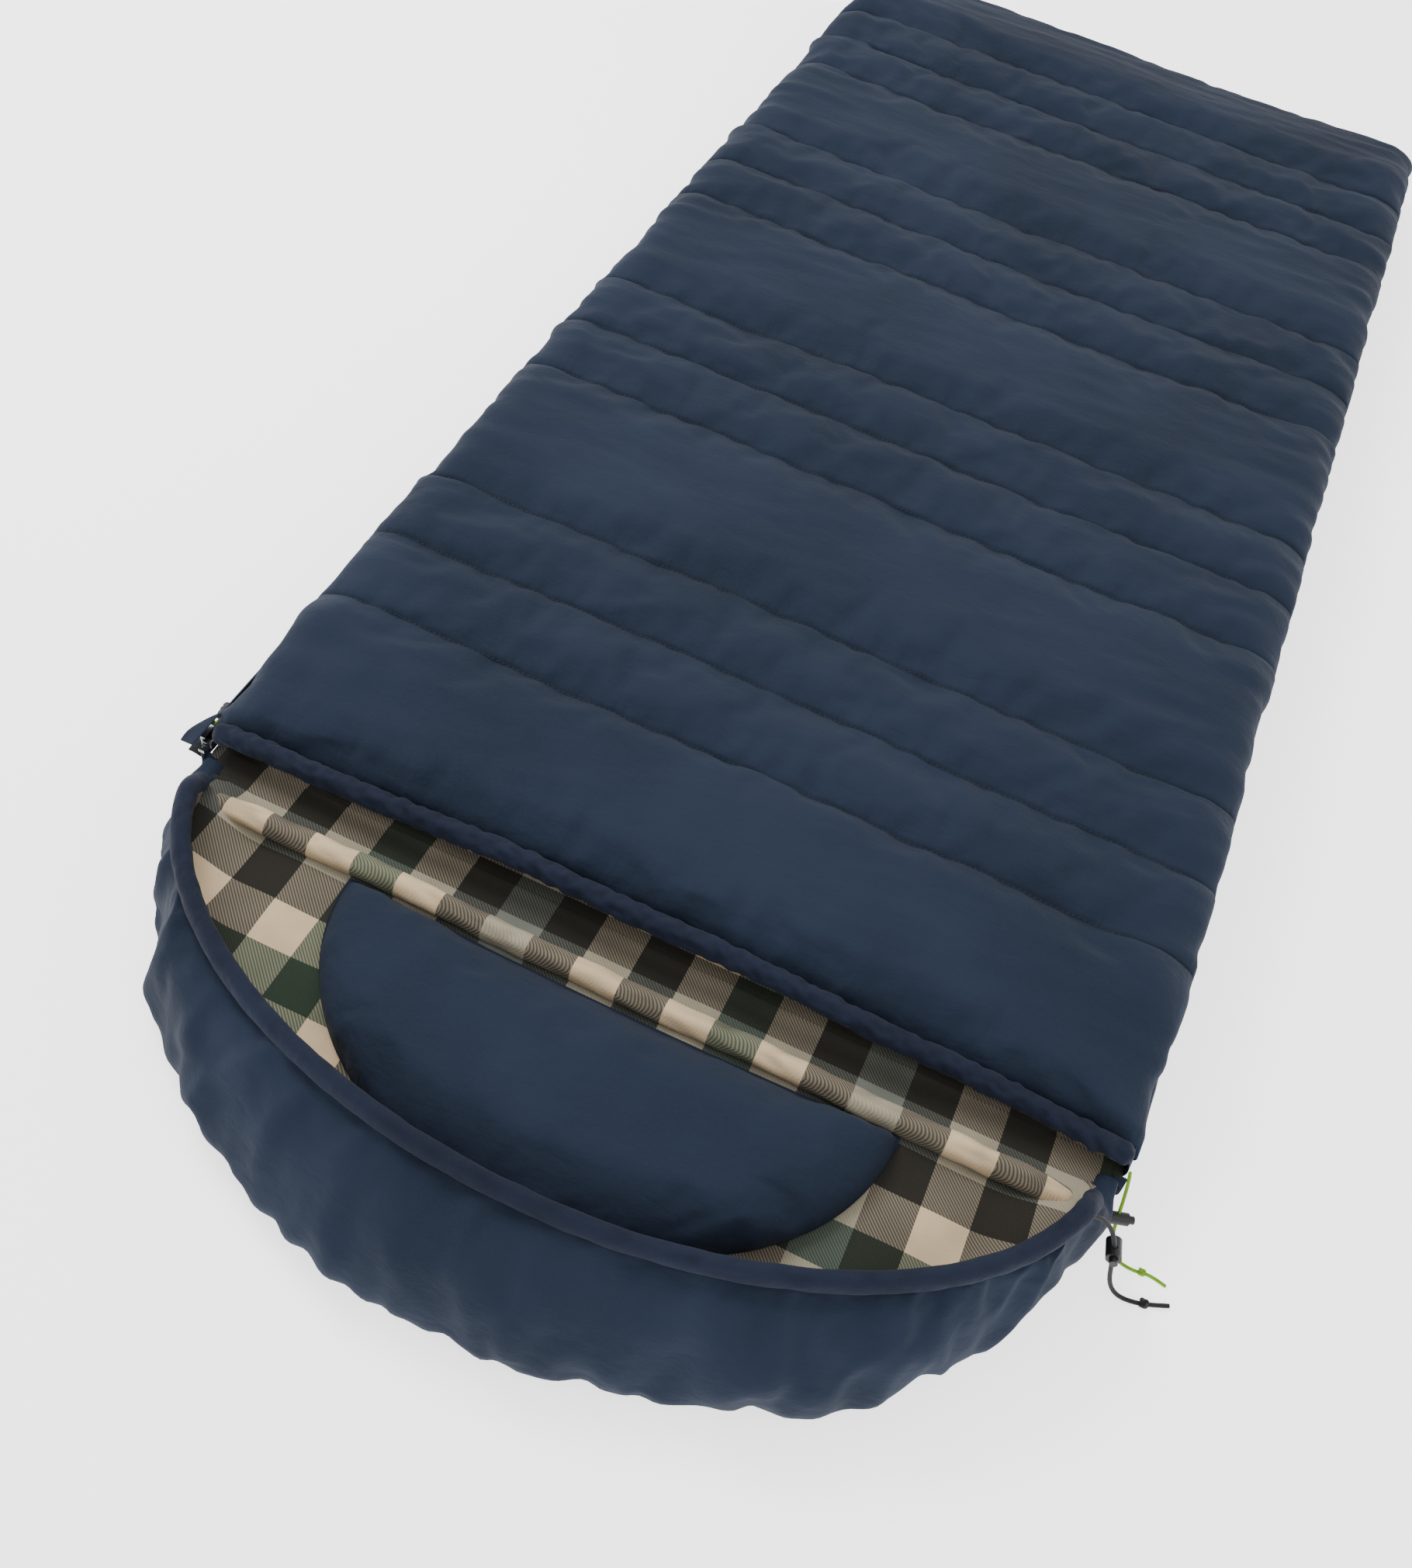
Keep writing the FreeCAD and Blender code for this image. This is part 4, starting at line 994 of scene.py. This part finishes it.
def make_pillow():
    low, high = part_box("pillow_cover")
    half_width, depth = high.x + 0.003, high.y - low.y + 0.006
    setback = NECK - high.y - 0.006
    across, along = 64, 34

    def where_at(top):
        def where(i, j):
            s, t = 2 * i / across - 1, j / along
            spot = half_disc(s, t, half_width, depth, setback)
            spot.y += 0.006 * (1 - t) * (spot.x / half_width) ** 2
            edge = min((1 - abs(s)) / 0.26, (1 - t) / 0.3, t / 0.17, 1)
            crown = math.sin(edge * math.pi / 2) ** 0.62
            lift = low.z + 0.007
            if top:
                level = lift + (high.z - 0.002 - lift) * crown
                level += 0.006 * math.cos(s * 1.5) * crown - 0.003
                level += 0.0016 * wave(spot.x * 11, spot.y * 13, 3.3) * crown
                level += 0.0020 * (ridge(spot.x * 24, spot.y * 9, 6.6) - 0.5) * math.exp(
                    -edge / 0.5)
            else:
                level = lift - 0.006 * crown
            spot.z = level
            # the second value is painted shade along the pillow's edge
            return spot, 0.3 * math.exp(-edge / 0.05), math.exp(-edge / 0.3), (
                0.0 if top and edge > 0.02 else 1.0)
        return where

    bm = surface(across, along, where_at(True), (0.5, 0.2))
    face_up(bm)
    below = surface(across, along, where_at(False), (0.5, 0.2))
    face_up(below, False)
    spare = bpy.data.meshes.new("spare")
    below.to_mesh(spare)
    below.free()
    bm.from_mesh(spare)
    bpy.data.meshes.remove(spare)
    bmesh.ops.remove_doubles(bm, verts=bm.verts, dist=2e-5)
    piece = finish_piece("pillow_padding", bm, SHELL, "hood",
                         ("pillow_cover", "pillow_fill"))
    return piece


def make_neck_roll():
    low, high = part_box("neck_roll")
    half = high.x + 0.046
    middle = (low + high) / 2

    def centre(share):
        x = half * (2 * share - 1)
        return Vector((x, middle.y - 0.001 + 0.0015 * wave(x * 9, 0.7, 1.5),
                       middle.z + 0.0015 + 0.001 * wave(x * 12, 0.1, 2.2)
                       - 0.007 * smooth_step((abs(x) - half + 0.05) / 0.05)))

    piece = tube("neck_roll_padding", centre, 0.0112, 260, 22, PLAID, "hood",
                 ("neck_roll",), crimp=0.14, wavelength=0.026,
                 plaid=True)
    return refine(piece)


def make_neck_fabric():
    """The lining and the outer fabric where the hood meets the lower quilt, laid in fixed shapes
    that ride on no body.
    """
    across = 70

    def inner(i, j):
        x = 0.424 * (2 * i / across - 1)
        y = OPENING + 0.012 - 0.044 * j / 10
        z = BASE_TOP + 0.0028 + 0.0014 * wave(x * 20, y * 20, 3.0)
        return Vector((x, y, z)), 0.0, 0.0, 0.0

    bm = surface(across, 10, inner, (0.848, 0.044))
    lay_plaid(bm)
    face_up(bm)
    lining = finish_piece("neck_lining", bm, PLAID, None, ())
    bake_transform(lining)

    half, wall = 0.4235, 0.045
    total = 2 * half + 2 * wall

    def outer(i, j):
        run = total * i / 90
        if run < wall:
            x, z = -half, BASE_TOP - 0.002 - run
        elif run > total - wall:
            x, z = half, BASE_TOP - 0.002 - (total - run)
        else:
            x, z = run - wall - half, 0.0028
        y = OPENING + 0.022 - 0.044 * j / 10
        return Vector((x, y, z)), 0.0, 0.3, 0.0

    bm = surface(90, 10, outer, (total, 0.044))
    face_up(bm, False)
    skin = finish_piece("neck_outer_fabric", bm, SHELL, None, ())
    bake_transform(skin)


# ---------------------------------------------------------------- zip and trim

def stamp(name, shape, places, material, body, replaced=()):
    """One small shape repeated at many places, as one piece."""
    bm = bmesh.new()
    for place in places:
        copy = shape.copy()
        copy.transform(place)
        bm.from_mesh(copy)
        bpy.data.meshes.remove(copy)
    return finish_piece(name, bm, material, body, replaced)


def grain(long, wide, high, round_steps=6, long_steps=4):
    """A small rounded bar along X, for a stitch or a zip tooth."""
    bm = bmesh.new()
    bmesh.ops.create_uvsphere(bm, u_segments=round_steps, v_segments=long_steps, radius=0.5)
    bmesh.ops.rotate(bm, verts=bm.verts, matrix=Matrix.Rotation(math.pi / 2, 3, "Y"))
    bmesh.ops.scale(bm, verts=bm.verts, vec=(long, wide, high))
    mesh = bpy.data.meshes.new("grain")
    bm.to_mesh(mesh)
    bm.free()
    return mesh


CORNER = 0.04
CHAIN_OFFSET = 0.0008
CHAIN_START = 0.003
TOOTH_PITCH = 0.0031


def chain_place(run):
    """Point and outward direction on the chain, from the head end round to the foot."""
    offset, radius = CHAIN_OFFSET, CORNER + CHAIN_OFFSET
    start = OPENING + CHAIN_START
    side_run = FOOT - CORNER - start
    arc = radius * math.pi / 2
    if run < side_run:
        return Vector((-SIDE - offset, start + run, 0)), Vector((-1, 0, 0))
    if run < side_run + arc:
        angle = (run - side_run) / radius
        out = Vector((-math.cos(angle), math.sin(angle), 0))
        return Vector((-SIDE + CORNER, FOOT - CORNER, 0)) + out * radius, out
    return (Vector((-SIDE + CORNER + run - side_run - arc, FOOT + offset, 0)),
            Vector((0, 1, 0)))


def make_teeth():
    tooth = grain(0.0062, 0.0021, 0.0030)
    low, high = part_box("zip_coil_lower")
    upper_box_low, upper_box_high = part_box("zip_coil_upper")
    full = (FOOT - CORNER - OPENING - CHAIN_START
            + (CORNER + CHAIN_OFFSET) * math.pi / 2)
    for name, node, body, level, start, end in (
            ("zip_teeth_lower", "zip_coil_lower", "lower_quilt", (low.z + high.z) / 2, 0.0,
             full + SIDE - CORNER + high.x),
            ("zip_teeth_upper", "zip_coil_upper", "upper_quilt",
             (upper_box_low.z + upper_box_high.z) / 2, upper_box_low.y - OPENING - CHAIN_START,
             full + SIDE - CORNER + upper_box_high.x)):
        places = []
        count = int((end - start) / TOOTH_PITCH)
        for k in range(count):
            spot, out = chain_place(start + (end - start) * (k + 0.5) / count)
            spot.z = level
            turn = Matrix.Rotation(math.atan2(out.y, out.x), 4, "Z")
            tip = Matrix.Rotation(0.3 if name.endswith("lower") else -0.3, 4, "Y")
            places.append(Matrix.Translation(spot) @ turn @ tip)
        stamp(name, tooth, places, TEETH, body, (node,))


def make_stitches(name, piece, body, half, pitch=0.0052):
    """Rows of thread along the quilt's seams, dropped straight on to the finished piece."""
    tree = BVHTree.FromObject(piece, bpy.context.evaluated_depsgraph_get())
    stitch = grain(0.0036, 0.0009, 0.0007, 5, 3)
    places = []
    for seam in SEAMS:
        count = int(2 * half / pitch)
        line = []
        for k in range(count + 1):
            x = -half + 2 * half * k / count
            y = seam + seam_wave(x, round(seam, 2)) * smooth_step((SIDE - abs(x)) / SEAM_FADE)
            hit, normal = tree.ray_cast(Vector((x, y, ABOVE_ALL)), Vector((0, 0, -1)))[:2]
            if hit is not None:
                line.append((hit, normal))
        for (here, normal), (after, _) in zip(line, line[1:]):
            along = (after - here).normalized()
            side = normal.cross(along).normalized()
            turn = Matrix((along, side, along.cross(side))).transposed().to_4x4()
            places.append(Matrix.Translation(here + normal * 0.0002) @ turn)
    stamp(name, stitch, places, THREAD, body, ())


def make_flap():
    low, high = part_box("garage_flap")
    reach = 0.0165

    def where(i, j):
        out, run = i / 8, j / 16
        start = low.y + 0.0045 * out
        end = high.y - 0.022 * out ** 1.5
        x = high.x - 0.0006 - reach * out
        y = start + (end - start) * run
        z = high.z - 0.0012 - 0.0064 * out - 0.002 * (2 * run - 1) ** 2 * out
        # the second value is painted shade, darker towards the flap's free edge
        return Vector((x, y, z)), 0.2 * out, 0.2, 0.0

    bm = surface(8, 16, where, (0.018, 0.044))
    face_up(bm)
    piece = finish_piece("zip_garage_flap", bm, SHELL, "garage_flap", ("garage_flap",))
    thicken(piece, 0.0014)
    refine(piece)


def make_label():
    low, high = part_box("label_tab")

    def where(i, j):
        out, run = i / 8, j / 12
        x = high.x - 0.0004 - (high.x - low.x - 0.0006) * out
        y = low.y + 0.0006 + (high.y - low.y - 0.0012) * run
        z = (low.z + high.z) / 2 + 0.0022 * math.sin(out * 2.2) * (1 + 0.4 * math.sin(run * 4))
        return Vector((x, y, z)), 0.0, 0.0, 0.0

    bm = surface(8, 12, where, (0.015, 0.042))
    face_up(bm)
    piece = finish_piece("side_label", bm, LABEL, "lower_quilt", ("label_tab",))
    thicken(piece, 0.001)
    refine(piece)


def make_draft_tube():
    low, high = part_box("draft_tube")
    middle = (low + high) / 2

    def centre(share):
        return Vector((middle.x, low.y + (high.y - low.y) * share, middle.z))

    piece = tube("draft_tube_padding", centre, 0.0185, 300, 20, SHELL, "lower_quilt",
                 ("draft_tube",), crimp=0.05, wavelength=0.03, flat=0.22)


def make_grip(prefix):
    """A moulded grip on a puller's cord, wider at its free end, with finger ribs."""
    low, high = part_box(f"{prefix}_pull_grip")
    cord_low, cord_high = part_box(f"{prefix}_pull_cord")
    size = high - low
    axis = max(range(3), key=lambda k: size[k])
    middle = (low + high) / 2
    cord_middle = (cord_low + cord_high) / 2
    away = 1 if middle[axis] > cord_middle[axis] else -1
    start, end = middle.copy(), middle.copy()
    start[axis] -= away * size[axis] / 2
    end[axis] += away * size[axis] / 2
    rings = 26

    def where(i, j):
        share = j / rings
        ahead = (end - start).normalized()
        side = ahead.cross(Vector((0, 0, 1))).normalized()
        above = side.cross(ahead)
        radius = 0.0028 + 0.0016 * smooth_step(share / 0.7)
        radius *= 1 + 0.07 * math.sin(share * math.tau * 4) * (0.2 < share < 0.85)
        ends = min(share, 1 - share) / 0.09
        if ends < 1:
            radius *= math.sqrt(1 - (1 - ends) ** 2)
        angle = math.tau * i / 20
        spot = start + (end - start) * share
        return (spot + side * radius * math.cos(angle)
                + above * radius * 0.8 * math.sin(angle)), 0.0, 0.0, 0.0

    bm = surface(20, rings, where, (0.02, 0.02), closed=True)
    bmesh.ops.recalc_face_normals(bm, faces=bm.faces)
    piece = finish_piece(f"{prefix}_grip", bm, PLASTIC, f"{prefix}_puller",
                         (f"{prefix}_pull_grip",))
    return refine(piece)


def make_knot(name, node, body, material, thickness):
    """An overhand knot pulled snug."""
    low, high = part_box(node)
    middle = (low + high) / 2
    reach = (high.x - low.x) / 2 - thickness / 2
    rise = (high.z - low.z) / 2 - thickness / 2

    def centre(share):
        turn = math.tau * share
        wide = (0.62 + 0.38 * math.cos(3 * turn)) * reach
        return middle + Vector((wide * math.cos(2 * turn), wide * math.sin(2 * turn),
                                rise * math.sin(3 * turn)))

    return tube(name, centre, thickness / 2, 90, 10, material, body, (node,))


lime_knot = make_knot("opening_cord_stop", "opening_cord_knot", "lower_quilt", LIME, 0.0026)
black_knot = make_knot("hood_cord_stop", "hood_cord_knot", "hood", BLACK, 0.0034)
drawcord("opening_drawcord", OPENING_CORD, 3 * MM, LIME, "lower_quilt", "opening_cord_tail")
drawcord("hood_drawcord", HOOD_CORD, 4 * MM, BLACK, "hood", "hood_cord_tail")

upper_quilt = make_upper_quilt()
brim = make_brim()
pillow = make_pillow()
puff([(upper_quilt, 2.2, 0.03, 0.008), (brim, 1.2, 0.04, 0.006), (pillow, 3.0, 0.02, 0.008)])
wrinkle(upper_quilt, quilt_wrinkles)
wrinkle(brim, brim_wrinkles)
wrinkle(pillow, pillow_wrinkles)
for soft in (upper_quilt, brim, pillow):
    refine(soft)
make_lower_quilt()
make_lining("upper_lining_cloth", "upper_quilt", "upper_lining", 0.0612,
            0.003, False, OPENING + 0.022)
make_lining("lower_lining_cloth", "lower_quilt", "lower_lining",
            BASE_TOP + 0.0005, 0.005, True, OPENING + 0.001)
make_fold()
make_opening_rim()
make_hood_base()
make_hood_lining()
make_brim_lining()
make_hood_rim()
make_neck_roll()
make_neck_fabric()
make_teeth()
make_flap()
make_label()
make_draft_tube()
make_grip("head")
make_grip("foot")
make_stitches("upper_quilt_stitches", upper_quilt, "upper_quilt", SIDE - SEAM_FADE)
repaint(TAPE, "zip_tape_lower", "zip_tape_upper")
repaint(METAL, "head_slider", "foot_slider", "head_pull_tab", "foot_pull_tab",
        "zip_stop_lower", "zip_stops_upper")
repaint(LIME, "head_pull_cord", "foot_pull_cord")
repaint(PLASTIC, "barrel_lock_housing", "barrel_lock_button", "round_lock_housing",
        "round_lock_button")
repaint(SPRING, "barrel_lock_spring", "round_lock_spring")
# Each coil spring closes up, away from its button, as the button is pressed. Here each spring
# only gets its own copy of its mesh; the press directions are not used.
for lock, press in (("barrel_lock", Vector((-0.941749, -0.330315, 0.063252))),
                    ("round_lock", Vector((-0.144534, 0.971711, -0.186782)))):
    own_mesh(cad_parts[lock + "_spring"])
repaint(LOOPS, "hook_patch", "flap_patch")


# ---------------------------------------------------------------- floor and light

def make_stage():
    bm = bmesh.new()
    bmesh.ops.create_grid(bm, x_segments=4, y_segments=4, size=9)
    floor_paint = Finish("pale_floor", roughness=0.95, specular=0.0)
    floor_paint.shader.inputs["Emission Color"].default_value = (1, 1, 1, 1)
    floor_paint.shader.inputs["Emission Strength"].default_value = 1.7
    mesh = bpy.data.meshes.new("floor")
    bm.to_mesh(mesh)
    bm.free()
    mesh.materials.append(floor_paint.colour((0.98, 0.98, 0.98, 1)))
    floor = bpy.data.objects.new("floor", mesh)
    bpy.context.scene.collection.objects.link(floor)
    world = bpy.data.worlds.new("studio")
    world.use_nodes = True
    world.node_tree.nodes["Background"].inputs["Color"].default_value = (1, 1, 1, 1)
    world.node_tree.nodes["Background"].inputs["Strength"].default_value = 1.15
    bpy.context.scene.world = world
    for name, spot, target, extent, power in (
            ("key", (-1.9, 0.2, 2.5), (0, -0.1, 0), 1.2, 78),
            ("fill", (2.4, -1.8, 2.2), (0, -0.3, 0), 2.4, 22)):
        lamp = bpy.data.lights.new(name, "AREA")
        lamp.size = extent
        lamp.energy = power
        holder = bpy.data.objects.new(name, lamp)
        holder.location = spot
        holder.rotation_euler = (Vector(target) - Vector(spot)).to_track_quat(
            "-Z", "Y").to_euler()
        bpy.context.scene.collection.objects.link(holder)


make_stage()
